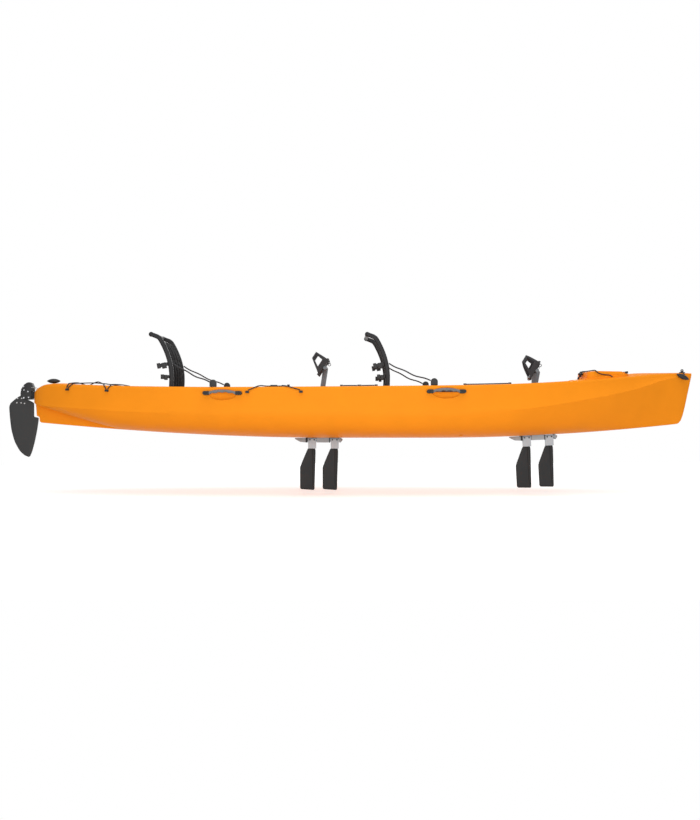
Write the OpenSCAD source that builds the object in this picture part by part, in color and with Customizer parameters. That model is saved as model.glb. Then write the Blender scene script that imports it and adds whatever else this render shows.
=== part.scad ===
// Tandem sit-on-top kayak with two pedal fin drives and a stern rudder.
// Frame: +X towards the bow, +Y to port, +Z up. Origin amidships, on the keel.
// All lengths are in millimetres.

/* [Hull] */
// Length of the hull, stern end to stem
hull_length = 4420; // [4200:10:4700]
// Greatest width of the hull
beam = 840; // [800:5:900]
// Height of the gunwale amidships above the keel
gunwale_h = 338; // [325:1:350]
// Height of the deck at the stem
bow_h = 434; // [415:1:455]
// Height of the deck at the stern
stern_h = 358; // [350:1:372]
// Rise of the keel line at the stem
rocker_fore = 103; // [90:1:115]
// Rise of the keel line at the stern
rocker_aft = 105; // [95:1:115]
// Length of the level stretch of keel
flat_keel_l = 700; // [500:10:800]
// Centre of the level stretch of keel
flat_keel_x = 100; // [60:5:120]
// Wall of the moulded shell
wall = 5; // [4:0.5:8]
// Radius of the gunwale edge
edge_r = 22; // [14:1:28]
// Camber of the fore deck
camber = 19; // [8:1:24]

/* [Wells] */
// Height of the footwell floors
foot_floor = 112; // [100:1:125]
// Height of the seat pans
seat_floor = 168; // [150:1:185]
// Height of the cargo well floor
cargo_floor = 215; // [200:1:235]
// Corner radius of the wells
well_r = 60; // [40:1:75]
// How far a well narrows from deck to floor
well_draft = 20; // [8:1:28]
// Radius of a drain hole
scupper_r = 17; // [10:1:22]

/* [Layout] */
// Middle of the front drive
front_drive_x = 1175; // [1165:1:1185]
// Middle of the rear drive
rear_drive_x = -270; // [-280:1:-260]
// Hinge line of the front seat back
front_seat_x = 150; // [135:1:165]
// Hinge line of the rear seat back
rear_seat_x = -1262; // [-1275:1:-1245]
// Middle of the front side handles
front_handle_x = 520; // [480:5:560]
// Middle of the rear side handles
rear_handle_x = -900; // [-940:5:-860]
// Middle of the front round hatch
front_round_x = 800; // [770:5:840]
// Middle of the rear round hatch
rear_round_x = -575; // [-600:5:-560]

/* [Bow hatch] */
// Aft edge of the lid
hatch_x0 = 1474; // [1465:1:1490]
// Forward edge of the lid
hatch_x1 = 1752; // [1740:1:1765]
// Half width of the lid at its aft edge
hatch_w0 = 158; // [150:1:165]
// Half width of the lid at its forward edge
hatch_w1 = 88; // [80:1:95]
// Height of the lid at its aft edge
hatch_h0 = 41; // [38:1:46]
// Height of the lid at its forward edge
hatch_h1 = 18; // [14:1:20]
// Wall of the lid
hatch_wall = 5; // [3:0.5:7]
// Radius of the hinge pin
hatch_pin_r = 3; // [2.5:0.5:3.5]

/* [Round hatches] */
// Outer radius of the rim
round_r = 100; // [92:1:102]
// Radius of the opening
round_bore_r = 76; // [66:1:80]
// Thickness of the rim
round_rim_h = 14; // [10:1:18]

/* [Side handles] */
// Length of the grip
grip_l = 171; // [150:1:190]
// Length of an end block
grip_end_l = 40; // [32:1:46]
// Height of an end block
grip_end_h = 24; // [20:1:28]
// How far the handle stands out from the side
grip_out = 24; // [20:1:30]
// Rise of the arched grip
grip_arch = 12; // [6:1:16]

/* [Seats] */
// Half width of the seat back
back_w = 215; // [200:1:225]
// Depth of the back rails, front to back
rail_d = 30; // [24:1:34]
// Width of the back rails
rail_w = 26; // [20:1:30]
// Height of the hinge above the seat pan
hinge_h = 60; // [55:1:66]
// Radius of the hinge tube
hinge_r = 11; // [8:0.5:12]
// Radius of the roll at the top of the back
roll_r = 16; // [12:1:18]
// Thickness of the back pad
pad_t = 30; // [22:1:36]
// Length of the seat cushion
cushion_l = 410; // [380:5:430]
// Thickness of the seat cushion
cushion_t = 46; // [36:1:52]
// Reach of the side straps ahead of the hinge line
strap_reach = 297; // [280:1:300]
// Diameter of a strap cord
strap_d = 9; // [6:0.5:10]

/* [Pedal drives] */
// Height of the pedal shaft above the keel
pivot_h = 188; // [180:1:200]
// How far the pedal shaft lies aft of the drive's middle
pivot_back = 28; // [15:1:35]
// Length of the front cranks, shaft to pedal pin, as their pedals are set
front_crank_l = 240; // [225:1:275]
// Length of the rear cranks, as their pedals are set
rear_crank_l = 278; // [240:1:285]
// Width of a crank seen from the side
crank_w = 31; // [26:1:34]
// Forward lean of the front starboard crank
front_lean = 4; // [2:1:8]
// Forward lean of the front port crank
front_port_lean = 13.5; // [10:0.5:16]
// Forward lean of the rear cranks
rear_lean = 8.5; // [6:0.5:13]
// Radius of the pedal shaft
pedal_shaft_r = 10; // [7:0.5:12]
// Radius of a pedal pin
pedal_pin_r = 6; // [4:0.5:7]
// Length of a pedal plate
pedal_l = 130; // [115:1:140]
// Width of a pedal plate
pedal_w = 90; // [80:1:96]
// Forward lean of the pedal plates
pedal_tilt = 33; // [28:1:38]
// Distance between the two fin drums
drum_pitch = 152; // [148:1:158]
// Length of a fin drum
drum_l = 60; // [54:1:62]
// Radius of a fin drum
drum_r = 14; // [12:0.5:14.5]
// Radius of the fin shaft
fin_shaft_r = 6; // [4:0.5:7]
// Depth of a mast socket below the fin shaft
collar_h = 59; // [52:1:64]
// Radius of a fin mast
mast_r = 5; // [4:0.5:6]
// Length of a fin
fin_h = 280; // [250:1:300]
// Chord of a fin at its tip
fin_chord = 105; // [90:1:110]
// Width of the drive spine
spine_w = 52; // [46:1:56]

/* [Rudder] */
// Distance of the steering axis behind the hull
steer_back = 26; // [22:1:30]
// Radius of the steering pin
steer_pin_r = 6; // [4:0.5:7]
// Thickness of the blade
blade_t = 12; // [9:0.5:13]
// Width of the rudder head
head_w = 44; // [38:1:50]
// Radius of the blade pivot pin
blade_pin_r = 5; // [4:0.5:6]

/* [Deck gear] */
// Length of a carry handle
lens_l = 92; // [80:1:100]
// Radius of a carry handle at its middle
lens_r = 13; // [10:0.5:15]
// Diameter of the shock cords
cord_d = 7; // [5:0.5:8]
// Bore radius of the bow tow eye
eye_r = 4; // [3:0.5:5]

/* [Clearances] */
// Gap between a fitting and its seat
seat_gap = 0.3; // [0.2:0.05:0.5]
// Radial gap round a running pin
run_gap = 0.05; // [0.03:0.01:0.08]
// Gap between parts that pass each other
pass_gap = 1; // [0.6:0.1:1.5]

/* [Hidden] */
$fn = 48;

hull_orange = [0.96, 0.57, 0.13];
trim_black = [0.10, 0.10, 0.11];
seat_black = [0.16, 0.16, 0.17];
fin_grey = [0.21, 0.21, 0.21];
drive_grey = [0.55, 0.55, 0.56];
collar_grey = [0.69, 0.69, 0.70];
steel = [0.75, 0.76, 0.78];
half_l = hull_length / 2;
half_b = beam / 2;

// Lines of the hull: station as a share of the half length, then half breadth and deck half
// breadth as shares of the half beam, knuckle height as a share of the gunwale height, how
// much of the rise to the stern or bow deck is reached, and the share of the camber
LINES = [
    [-1.000, 0.085, 0.068, 0.695, -1.45, 0.15],
    [-0.986, 0.215, 0.187, 0.665, -0.40, 0.30],
    [-0.950, 0.357, 0.320, 0.628, 0.90, 0.42],
    [-0.860, 0.548, 0.505, 0.591, 0.75, 0.42],
    [-0.679, 0.762, 0.715, 0.517, 0.15, 0.10],
    [-0.452, 0.917, 0.872, 0.483, -0.20, 0.00],
    [-0.226, 0.988, 0.946, 0.473, -0.15, 0.00],
    [0.000, 1.000, 0.957, 0.473, 0.00, 0.00],
    [0.226, 0.952, 0.905, 0.476, 0.06, 0.00],
    [0.452, 0.822, 0.757, 0.562, 0.19, 0.00],
    [0.679, 0.583, 0.493, 0.781, 0.51, 0.50],
    [0.814, 0.357, 0.281, 0.962, 0.77, 1.00],
    [0.905, 0.179, 0.131, 1.139, 0.94, 0.37],
    [0.973, 0.067, 0.050, 1.207, 1.00, 0.10],
    [1.000, 0.020, 0.017, 1.236, 0.99, 0.00]
];
// Half width of the keel, and fullness of the bilge
KEEL = [
    [-1.00, 9, 0.60],
    [-0.93, 17, 0.70],
    [-0.72, 26, 0.82],
    [-0.35, 40, 0.90],
    [0.30, 40, 0.90],
    [0.60, 22, 0.72],
    [0.85, 9, 0.55],
    [1.00, 3, 0.50]
];
// Rise of the stem and of the stern end: distance from that end, share of the full rise
STEM = [[0, 0.94], [20, 0.68], [47, 0.31], [61, 0.15], [74, 0.055], [88, 0.01], [100, 0]];
STERN = [[0, 0.51], [4, 0.48], [8, 0.17], [26, 0.145], [29, 0.03], [40, 0]];
// Start of the skeg, and how far the bottom lifts above it at the stern end
skeg_x = -1600;
skeg_lift = 122;

// Smooth curve through rows of [station, values]
function row_before(rows, x, i = 0) =
    i >= len(rows) - 2 || x < rows[i + 1][0] ? i : row_before(rows, x, i + 1);
function grade(rows, i, c) =
    let (a = rows[max(i - 1, 0)], b = rows[min(i + 1, len(rows) - 1)]) (b[c] - a[c]) / (b[0] - a[0]);
function fair(rows, x, c) =
    let (i = row_before(rows, x), p = rows[i], q = rows[i + 1], h = q[0] - p[0], t = (x - p[0]) / h)
    (2 * t ^ 3 - 3 * t ^ 2 + 1) * p[c] + (t ^ 3 - 2 * t ^ 2 + t) * h * grade(rows, i, c)
    + (3 * t ^ 2 - 2 * t ^ 3) * q[c] + (t ^ 3 - t ^ 2) * h * grade(rows, i + 1, c);

// Hull surface, by station
function rocker(x) =
    let (fore = (x - flat_keel_x - flat_keel_l / 2) / (half_l - flat_keel_x - flat_keel_l / 2),
         aft = (flat_keel_x - flat_keel_l / 2 - x) / (half_l + flat_keel_x - flat_keel_l / 2))
    fore > 0 ? rocker_fore * fore ^ 2 : aft > 0 ? rocker_aft * aft ^ 1.8 : 0;
function keel_z(x) = rocker(x)
    + lookup(half_l - x, STEM) * (bow_h - rocker_fore)
    + lookup(x + half_l, STERN) * (stern_h - rocker_aft);
function lift(x) = x < skeg_x ? skeg_lift * ((skeg_x - x) / (half_l + skeg_x)) ^ 1.2 : 0;
function sheer(x) = gunwale_h
    + fair(LINES, x / half_l, 4) * ((x < 0 ? stern_h : bow_h) - gunwale_h);
function crown(x) = camber * max(fair(LINES, x / half_l, 5), 0);
function half_breadth(x) = half_b * fair(LINES, x / half_l, 1);
function deck_breadth(x) = half_b * fair(LINES, x / half_l, 2);
function knuckle(x) = gunwale_h * fair(LINES, x / half_l, 3);

// One half section, keel to deck middle, as [y, z], drawn in by w from the outer face
function half_section(x, w = 0) =
    let (zk = keel_z(x), wk = max(fair(KEEL, x / half_l, 1) - w, 2),
         zc = max(zk + 2, rocker(x) + lift(x)) + w,
         zm = max(knuckle(x), zc + 4),
         zd = max(sheer(x) - w, zm + 4), zs = zd + crown(x),
         b = half_breadth(x) - w, g = deck_breadth(x) - w,
         re = min(edge_r, 0.45 * (zd - zm), 0.6 * g),
         y2 = min(wk + 7, 0.7 * b),
         full = fair(KEEL, x / half_l, 2),
         yc = y2 + full * (b - y2), zq = zc + (1 - full) * 0.35 * (zm - zc))
    concat(
        [[0, zk + w], [min(wk, y2 - 1), zk + w], [y2, zc]],
        [for (t = [0.2:0.2:0.9])
            [(1 - t) ^ 2 * y2 + 2 * t * (1 - t) * yc + t * t * b,
             (1 - t) ^ 2 * zc + 2 * t * (1 - t) * zq + t * t * zm]],
        [[b, zm], [g + 0.4 * (b - g), zm + 0.5 * (zd - re - zm)]],
        [for (a = [0:45:90]) [g - re + re * cos(a), zd - re + re * sin(a)]],
        [[0, zs]]
    );
function ring(x, w = 0) =
    let (h = half_section(x, w), n = len(h))
    concat([for (p = h) [x, p[0], p[1]]], [for (i = [n - 2:-1:1]) [x, -h[i][0], h[i][1]]]);

stations = concat(
    [for (d = [0, 4, 8, 26, 29, 42, 70, 115]) d - half_l],
    [for (i = [0:23]) lerp(180 - half_l, half_l - 170, i / 23)],
    [for (d = [140, 115, 95, 82, 70, 58, 46, 30, 14, 0]) half_l - d]
);
function lerp(a, b, t) = a + (b - a) * t;
void_stations = [for (x = stations) if (x > 60 - half_l && x < half_l - 130) x];

// Solid through rings of equal length
module skin(rings) {
    n = len(rings[0]);
    m = len(rings);
    polyhedron(
        points = [for (r = rings) each r],
        faces = concat(
            [[for (j = [0:n - 1]) j]],
            [[for (j = [n - 1:-1:0]) (m - 1) * n + j]],
            [for (i = [0:m - 2], j = [0:n - 1])
                each let (a = i * n + j, b = i * n + (j + 1) % n)
                    [[a, a + n, b + n], [a, b + n, b]]]
        )
    );
}

// Round cord along a list of points
function unit(v) = v / norm(v);
function tube_ring(points, i, r, sides) =
    let (last = len(points) - 1,
         t = unit(points[min(i + 1, last)] - points[max(i - 1, 0)]),
         side = unit(cross(t, abs(t[2]) < 0.9 ? [0, 0, 1] : [1, 0, 0])),
         up = cross(t, side))
    [for (k = [0:sides - 1]) points[i] + r * (cos(360 * k / sides) * side + sin(360 * k / sides) * up)];
module cord(points, d, sides = 8) {
    skin([for (i = [0:len(points) - 1]) tube_ring(points, i, d / 2, sides)]);
}

module both_sides() {
    children();
    mirror([0, 1, 0]) children();
}

// Half breadth of the topsides at a height between the knuckle and the gunwale edge
function side_y(x, z) =
    let (h = half_section(x), n = len(h), k = h[n - 6], m = h[n - 5], g = h[n - 4])
    z < m[1] ? lerp(k[0], m[0], (z - k[1]) / (m[1] - k[1]))
             : lerp(m[0], g[0], (z - m[1]) / (g[1] - m[1]));
// Height of the deck at a distance off the middle
function deck_z(x, y) =
    let (h = half_section(x), n = len(h), e = h[n - 2]) lerp(h[n - 1][1], e[1], min(abs(y) / e[0], 1));
// Places a fitting on the starboard side: local X forward, local Y up, local Z outward
module on_side(x, z) {
    step = 8;
    sx = (side_y(x + step, z) - side_y(x - step, z)) / (2 * step);
    sz = (side_y(x, z + step) - side_y(x, z - step)) / (2 * step);
    out = unit([-sx, -1, -sz]);
    fore = unit([1, -sx, 0]);
    up = cross(out, fore);
    multmatrix([
        [fore[0], up[0], out[0], x],
        [fore[1], up[1], out[1], -side_y(x, z)],
        [fore[2], up[2], out[2], z],
        [0, 0, 0, 1]
    ]) children();
}

// Wells, slots and openings of the hull
rim_w = 70;
function well_w(x, most) = min(most, deck_breadth(x) - rim_w);
slot_l = drum_pitch + drum_l + 44;
slot_w = spine_w + 12;
land_depth = 2;
handle_drop = 41;
// Plan ends of each well: aft x, forward x, widest half width, floor
front_foot = [520, 1380, 275, foot_floor];
front_pan = [20, 600, 312, seat_floor];
rear_foot = [-740, -70, 315, foot_floor];
rear_pan = [-1385, -690, 312, seat_floor];
bulkhead = 65;
cargo = [250 - half_l, rear_pan[0] - bulkhead, 270, cargo_floor];
WELLS = [front_foot, front_pan, rear_foot, rear_pan, cargo];
module well(w, grow = 0) {
    depth = 400;
    hull()
        for (end = [[w[0] + well_r, well_w(w[0], w[2])], [w[1] - well_r, well_w(w[1], w[2])]], m = [-1, 1])
            translate([end[0], m * (end[1] - well_r), w[3] - grow])
                cylinder(h = depth, r1 = well_r - well_draft + grow,
                         r2 = well_r + well_draft + grow, $fn = 16);
}
module drive_slot(x, grow = 0) {
    low = -60;
    translate([x - slot_l / 2 - grow, -slot_w / 2 - grow, low])
        cube([slot_l + 2 * grow, slot_w + 2 * grow, foot_floor - low + grow]);
}
scupper_y = 205;
scupper_in = 115;
scupper_places = [[front_foot[0] + scupper_in, scupper_y], [rear_foot[1] - scupper_in + 25, scupper_y]];
module scuppers(grow = 0) {
    for (s = scupper_places)
        both_sides() translate([s[0], s[1], 0])
            cylinder(h = foot_floor + 2, r1 = scupper_r - 3 + grow, r2 = scupper_r + grow, $fn = 20);
}

// Bow hatch frame: local X runs up along the seat towards the hinge, local Z away from the deck
hatch_lip = 2;
hatch_z0 = sheer(hatch_x0) + crown(hatch_x0) + hatch_lip;
hatch_z1 = sheer(hatch_x1) + crown(hatch_x1) + hatch_lip;
hatch_slope = atan((hatch_z1 - hatch_z0) / (hatch_x1 - hatch_x0));
hatch_l = (hatch_x1 - hatch_x0) / cos(hatch_slope);
hatch_corner = 36;
hatch_flange = 14;
coaming_in = 26;
coaming_h = 6;
module at_hatch() {
    translate([hatch_x1, 0, hatch_z1]) rotate([0, -hatch_slope, 0]) children();
}
// Rounded plan of the hatch drawn in by d, between two heights at each end
module hatch_block(d, z, h0, h1, lean = 0) {
    r = hatch_corner - min(d, hatch_corner - 8);
    hull()
        for (m = [-1, 1]) {
            translate([-hatch_l + r + d, m * (hatch_w0 - r - d), z])
                cylinder(h = h0, r1 = r, r2 = r - 8 * sign(lean), $fn = 32);
            translate([-r - d, m * (hatch_w1 - r - d), z]) cylinder(h = 1, r = r, $fn = 32);
            translate([-r - d - lean, m * (hatch_w1 - r - d), z + h1 - 1])
                cylinder(h = 1, r = r - 8 * sign(lean), $fn = 32);
        }
}
// Flat outline of the hatch drawn in by d
module hatch_plan(d) {
    r = hatch_corner - min(d, hatch_corner - 8);
    hull()
        for (m = [-1, 1]) {
            translate([-hatch_l + r + d, m * (hatch_w0 - r - d)]) circle(r = r, $fn = 32);
            translate([-r - d, m * (hatch_w1 - r - d)]) circle(r = r, $fn = 32);
        }
}
hatch_rim = 8;
seal_h = 5;
hatch_hinge_x = 12;
hatch_hinge_z = 7;

module lands() {
    for (x = [front_handle_x, rear_handle_x])
        both_sides() on_side(x, sheer(x) - handle_drop) handle_lands();
}
module handle_lands() {
    for (m = [-1, 1])
        translate([m * (grip_l + grip_end_l) / 2, 0, 0])
            cube([grip_end_l + 1, grip_end_h + 1, 2 * land_depth], center = true);
    finger_recess();
}
recess = [grip_l + 12, 74, 52];
module finger_recess(grow = 0) {
    translate([0, -8, 4]) resize([for (d = recess) d + 2 * grow]) sphere(r = 30, $fn = 20);
}

module hull_shell() {
    difference() {
        union() {
            skin([for (x = stations) ring(x)]);
            at_hatch() translate([0, 0, -24]) hatch_block(-hatch_flange, 0, 24, 24);
            at_hatch() hatch_block(coaming_in, -20, 20 + coaming_h, 20 + coaming_h);
        }
        for (w = WELLS) well(w);
        for (x = [front_drive_x, rear_drive_x]) drive_slot(x);
        scuppers();
        at_hatch() hatch_block(coaming_in + wall, -90, 160, 160);
        for (x = [front_round_x, rear_round_x])
            translate([x, 0, foot_floor - 2 * wall]) cylinder(h = 60, r = round_bore_r + 8);
        lands();
        difference() {
            skin([for (x = void_stations) ring(x, wall)]);
            for (w = WELLS) well(w, wall);
            for (x = [front_drive_x, rear_drive_x]) drive_slot(x, wall);
            scuppers(wall);
            for (x = [front_handle_x, rear_handle_x])
                both_sides() on_side(x, sheer(x) - handle_drop) finger_recess(wall);
        }
    }
}
module hull_node() { color(hull_orange) hull_shell(); }

// Bow hatch
module hatch_lid() {
    eye_w = 18;
    color(hull_orange) at_hatch() difference() {
        union() {
            translate([0, 0, seat_gap]) hatch_block(0, 0, hatch_h0, hatch_h1, 16);
            for (m = [-1, 1]) translate([0, m * 24, 0]) {
                translate([hatch_hinge_x, 0, hatch_hinge_z]) rotate([90, 0, 0])
                    cylinder(h = eye_w, r = 2 * hatch_pin_r, center = true);
                translate([-16, -eye_w / 2, hatch_hinge_z - hatch_pin_r])
                    cube([hatch_hinge_x + 16, eye_w, 2 * hatch_pin_r]);
            }
        }
        translate([0, 0, -1])
            hatch_block(hatch_wall + hatch_rim, 0, hatch_h0 - hatch_wall, hatch_h1 - hatch_wall, 18);
        translate([0, 0, -1]) linear_extrude(seal_h + 2) hatch_plan(hatch_wall + hatch_rim);
        translate([hatch_hinge_x, 0, hatch_hinge_z]) rotate([90, 0, 0])
            cylinder(h = 90, r = hatch_pin_r + run_gap, center = true);
    }
}
module hatch_seal() {
    color(trim_black) at_hatch() translate([0, 0, 2 * seat_gap]) linear_extrude(seal_h) difference() {
        hatch_plan(hatch_wall + hatch_rim + seat_gap);
        hatch_plan(coaming_in - seat_gap);
    }
}
module hatch_hinge() {
    ear_w = 12;
    ear_y = 24 + 9 + pass_gap;
    color(trim_black) at_hatch() {
        translate([hatch_hinge_x, 0, hatch_hinge_z]) rotate([90, 0, 0])
            cylinder(h = 2 * (ear_y + ear_w), r = hatch_pin_r, center = true);
        for (m = [-1, 1])
            translate([hatch_hinge_x - 9, m * (ear_y + ear_w / 2) - ear_w / 2, seat_gap])
                cube([18, ear_w, hatch_hinge_z + 8]);
    }
}
// The toggle hangs on its cords just aft of the lid
toggle_x = hatch_x0 - 10;
toggle_z = hatch_z0 + 32;
toggle_r = 7;
tie_x = hatch_x0 - 25;
// Cord over the lid: distance ahead of its aft edge, share of its half width, share of its height,
// clearance above that
CORD_RUN = [
    [-10, 0.089, 1, 3.7], [-3, 0.146, 1, 6.9], [10, 0.291, 1, 5.7], [28, 0.582, 1, 5.3], [42, 0.848, 1, 5.8],
    [50, 0.930, 1, 4.7], [58, 0.968, 0.8, 5.5], [74, 0.943, 0.5, 3.9], [102, 0.886, 0.25, 3.3],
    [132, 0.842, 0.1, 2.5], [146, 0.886, 0, 3.5], [157, 0.908, 0, -3.3], [167, 0.924, 0, -11.4]
];
HATCH_CORD = [for (p = CORD_RUN)
    [hatch_x0 + p[0], hatch_w0 * p[1], hatch_z0 + p[0] * tan(hatch_slope) + hatch_h0 * p[2] + p[3]]];
TIE_CORD = [
    [toggle_x, 12, toggle_z - toggle_r - seat_gap], [toggle_x - 4, 12, toggle_z - toggle_r - 10],
    [tie_x + 2, 13, hatch_z0 + 8], [tie_x, 13, deck_z(tie_x, 13) + 2 * seat_gap]
];
module hatch_bungee() {
    color(trim_black) both_sides() cord(HATCH_CORD, cord_d);
}
module hatch_tie_cords() {
    color(trim_black) both_sides() cord(TIE_CORD, cord_d);
}
module hatch_toggle() {
    color(trim_black) translate([toggle_x, 0, toggle_z]) rotate([90, 0, 0]) {
        cylinder(h = 44, r = toggle_r, center = true);
        for (m = [-1, 1]) translate([0, 0, m * 27]) sphere(r = toggle_r + 3);
    }
}

// Round hatches in the footwell floors
round_seat = 10;
module round_rim() {
    rotate_extrude($fn = 96) polygon([
        [round_bore_r, 0], [round_r, 0], [round_r, round_rim_h - 6], [round_r - 6, round_rim_h],
        [round_bore_r + 8, round_rim_h], [round_bore_r + 8, round_seat], [round_bore_r, round_seat]
    ]);
}
module round_hatch_rims() {
    color(trim_black) for (x = [front_round_x, rear_round_x])
        translate([x, 0, foot_floor + seat_gap]) round_rim();
}
module round_lid(x) {
    color(trim_black) translate([x, 0, foot_floor + seat_gap + round_seat + seat_gap]) {
        rotate_extrude($fn = 96) polygon([
            [0, -6], [round_bore_r - run_gap - 4, -6], [round_bore_r - run_gap, -2],
            [round_bore_r - run_gap, 0], [round_bore_r + 7, 0],
            [round_bore_r + 7, 6], [round_bore_r - 6, 10], [0, 10]
        ]);
        for (a = [0:60:120]) rotate([0, 0, a])
            translate([-round_bore_r + 14, -6, 9]) cube([2 * round_bore_r - 28, 12, 9]);
    }
}

// Side handles: a grey arched grip between two black end blocks
module grip_outline() {
    half = grip_l / 2;
    steps = 24;
    polygon(concat(
        [for (i = [0:steps]) let (t = 2 * i / steps - 1) [half * t, grip_arch * (1 - t * t) + 9]],
        [for (i = [steps:-1:0]) let (t = 2 * i / steps - 1)
            [half * t, grip_arch * (1 - t * t) - 8 - 2.5 * cos(720 * t)]]
    ));
}
module on_handles() {
    for (x = [front_handle_x, rear_handle_x])
        both_sides() on_side(x, sheer(x) - handle_drop) children();
}
module side_handle_grips() {
    color([0.52, 0.52, 0.53]) on_handles()
        translate([0, 0, 6]) linear_extrude(grip_out - 6) grip_outline();
}
module side_handle_ends() {
    color(trim_black) on_handles() for (m = [-1, 1]) mirror([m < 0 ? 1 : 0, 0, 0])
        translate([grip_l / 2 + seat_gap, 0, seat_gap - land_depth]) difference() {
            translate([0, -grip_end_h / 2, 0]) union() {
                cube([grip_end_l - grip_end_h / 2, grip_end_h, grip_out - 2]);
                translate([grip_end_l - grip_end_h / 2, grip_end_h / 2, 0])
                    cylinder(h = grip_out - 2, r = grip_end_h / 2);
            }
            translate([grip_end_l / 2 + 2, 0, grip_out - 5]) cylinder(h = 8, r = 7);
        }
}
module handle_screws() {
    color(steel) on_handles() for (m = [-1, 1])
        translate([m * (grip_l / 2 + seat_gap + grip_end_l / 2 + 2), 0,
                   grip_out - land_depth - 5 + 2 * seat_gap])
            cylinder(h = 3, r = 5.5);
}

// Carry handles: lens shaped pads on short straps
module lens() {
    steps = 12;
    rotate([0, 90, 0]) rotate_extrude() polygon(concat(
        [[0, -lens_l / 2]],
        [for (i = [0:steps]) let (t = 2 * i / steps - 1)
            [lens_r * (1 - t * t) + 3 * (1 - t ^ 8), lens_l / 2 * t]],
        [[0, lens_l / 2]]
    ));
}
eye_x = half_l - 61;
lens_x = half_l - 76;
lens_drop = 23;
bow_lens_dip = 27;
// Strap from the eye over the deck edge: distance ahead of the eye, off the edge, and above the deck
BOW_STRAP = [for (p = [[0, -5, 5], [0.5, 4, 2], [1.5, 14, -6], [2, 22, -18]])
    [eye_x + p[0], -deck_breadth(eye_x) - p[1], sheer(eye_x) + p[2]]];
module bow_handle() {
    color(trim_black) {
        on_side(lens_x, sheer(lens_x) - lens_drop) translate([0, -10, lens_r + 3 + seat_gap])
            rotate([0, 0, -bow_lens_dip]) lens();
        cord(BOW_STRAP, cord_d);
    }
}
stern_lens_x = 120 - half_l;
module stern_handle() {
    z = sheer(stern_lens_x) + crown(stern_lens_x) + lens_r + 3 + seat_gap;
    color(trim_black) translate([stern_lens_x, 0, z]) lens();
}
// Tow eye on the bow deck, with its cross strap down to the carry handle
eye_plate = [34, 24, 5];
eye_up = 16;
module bow_tow_eye() {
    deck = max([for (m = [-1, 1]) let (x = eye_x + m * eye_plate[0] / 2) sheer(x) + crown(x)]) + seat_gap;
    color(trim_black) translate([eye_x, 0, deck]) difference() {
        union() {
            translate([-eye_plate[0] / 2, -eye_plate[1] / 2, 0]) cube(eye_plate);
            translate([0, 0, eye_up]) rotate([90, 0, 0]) cylinder(h = 12, r = 2.2 * eye_r, center = true);
            translate([-2.2 * eye_r, -6, 0]) cube([4.4 * eye_r, 12, eye_up]);
        }
        translate([0, 0, eye_up]) rotate([90, 0, 0]) cylinder(h = 30, r = eye_r, center = true);
    }
}

// Shock cords and the hooks, clips and pads that hold them
cargo_hooks = [cargo[0] + 25, cargo[1] - 211];
hook_drop = 34;
keeper_hooks = [-742, -401];
keeper_runs = [80, -115];
hook_side = 6;
keeper_y = 358;
keeper_clip_x = -576;
// Cords that lie along the edge of the deck, as [aft end, fore end]
DECK_CORDS = [[653, 927], [-135, -45], [-18, 66]];
deck_in = edge_r + 5;
hook_l = 22;
hook_w = 14;
hook_h = 9;
pad_l = 18;
cord_rise = hook_w / 2 + seat_gap;
cord_lift = cord_d / 2 + 2 * seat_gap;
module deck_pad(x) {
    y = deck_breadth(x) - deck_in;
    translate([x - pad_l / 2, y - 5, deck_z(x, y) + 2 * seat_gap]) cube([pad_l, 10, hook_h]);
}
module keeper_clip() {
    clip_l = 44;
    translate([keeper_clip_x, keeper_y, deck_z(keeper_clip_x, keeper_y) + seat_gap]) difference() {
        translate([-clip_l / 2, -9, 0]) cube([clip_l, 18, cord_d + 4]);
        translate([-clip_l, -cord_d / 2 - seat_gap, -1])
            cube([2 * clip_l, cord_d + 2 * seat_gap, cord_d + 2.2]);
    }
}
module bungee_hooks() {
    color(trim_black) both_sides() {
        for (x = concat(cargo_hooks, keeper_hooks))
            on_side(x, sheer(x) - hook_drop) translate([0, 0, seat_gap + 0.4]) {
                translate([-hook_l / 2, -hook_w / 2, 0]) cube([hook_l, hook_w, hook_h]);
                translate([-hook_l / 2, -hook_w / 2, hook_h]) cube([hook_l, 5, 5]);
            }
        for (c = DECK_CORDS) {
            deck_pad(c[0] - pad_l / 2 - 1);
            deck_pad(c[1] + pad_l / 2 + 1);
        }
        keeper_clip();
    }
}
// A cord from a hook up the side and over the rounded edge of the deck, while it leans by a run
cord_out = cord_d / 2 + 2.5;
function edge_point(x, turn, m) =
    [x, m * (deck_breadth(x) - edge_r + (edge_r + cord_out) * cos(turn)),
     sheer(x) - edge_r + (edge_r + cord_out) * sin(turn)];
function up_edge(x, run, m) =
    let (z = sheer(x) - hook_drop + cord_rise + cord_d / 2 + 1, xd = x + run)
    [[x, m * (side_y(x, sheer(x) - edge_r) + cord_d), z],
     edge_point(x + 0.3 * run, 21, m),
     edge_point(x + 0.7 * run, 60, m),
     [xd, m * (deck_breadth(xd) - edge_r - 6), sheer(xd) + cord_d]];
function turned(points) = [for (i = [len(points) - 1:-1:0]) points[i]];
function on_deck(x, y) = [x, y, deck_z(x, y) + cord_lift];
function keeper_path(m) = concat(
    up_edge(keeper_hooks[0] + hook_side, keeper_runs[0], m),
    [for (d = [-46, 46]) on_deck(keeper_clip_x + d, m * keeper_y)],
    turned(up_edge(keeper_hooks[1] - hook_side, keeper_runs[1], m))
);
function deck_path(c) =
    [for (i = [0:4]) let (x = lerp(c[0], c[1], i / 4)) on_deck(x, deck_breadth(x) - deck_in)];
module paddle_bungees() {
    color(trim_black) {
        for (m = [-1, 1]) cord(keeper_path(m), cord_d);
        both_sides() for (c = DECK_CORDS) cord(deck_path(c), cord_d);
    }
}
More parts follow.
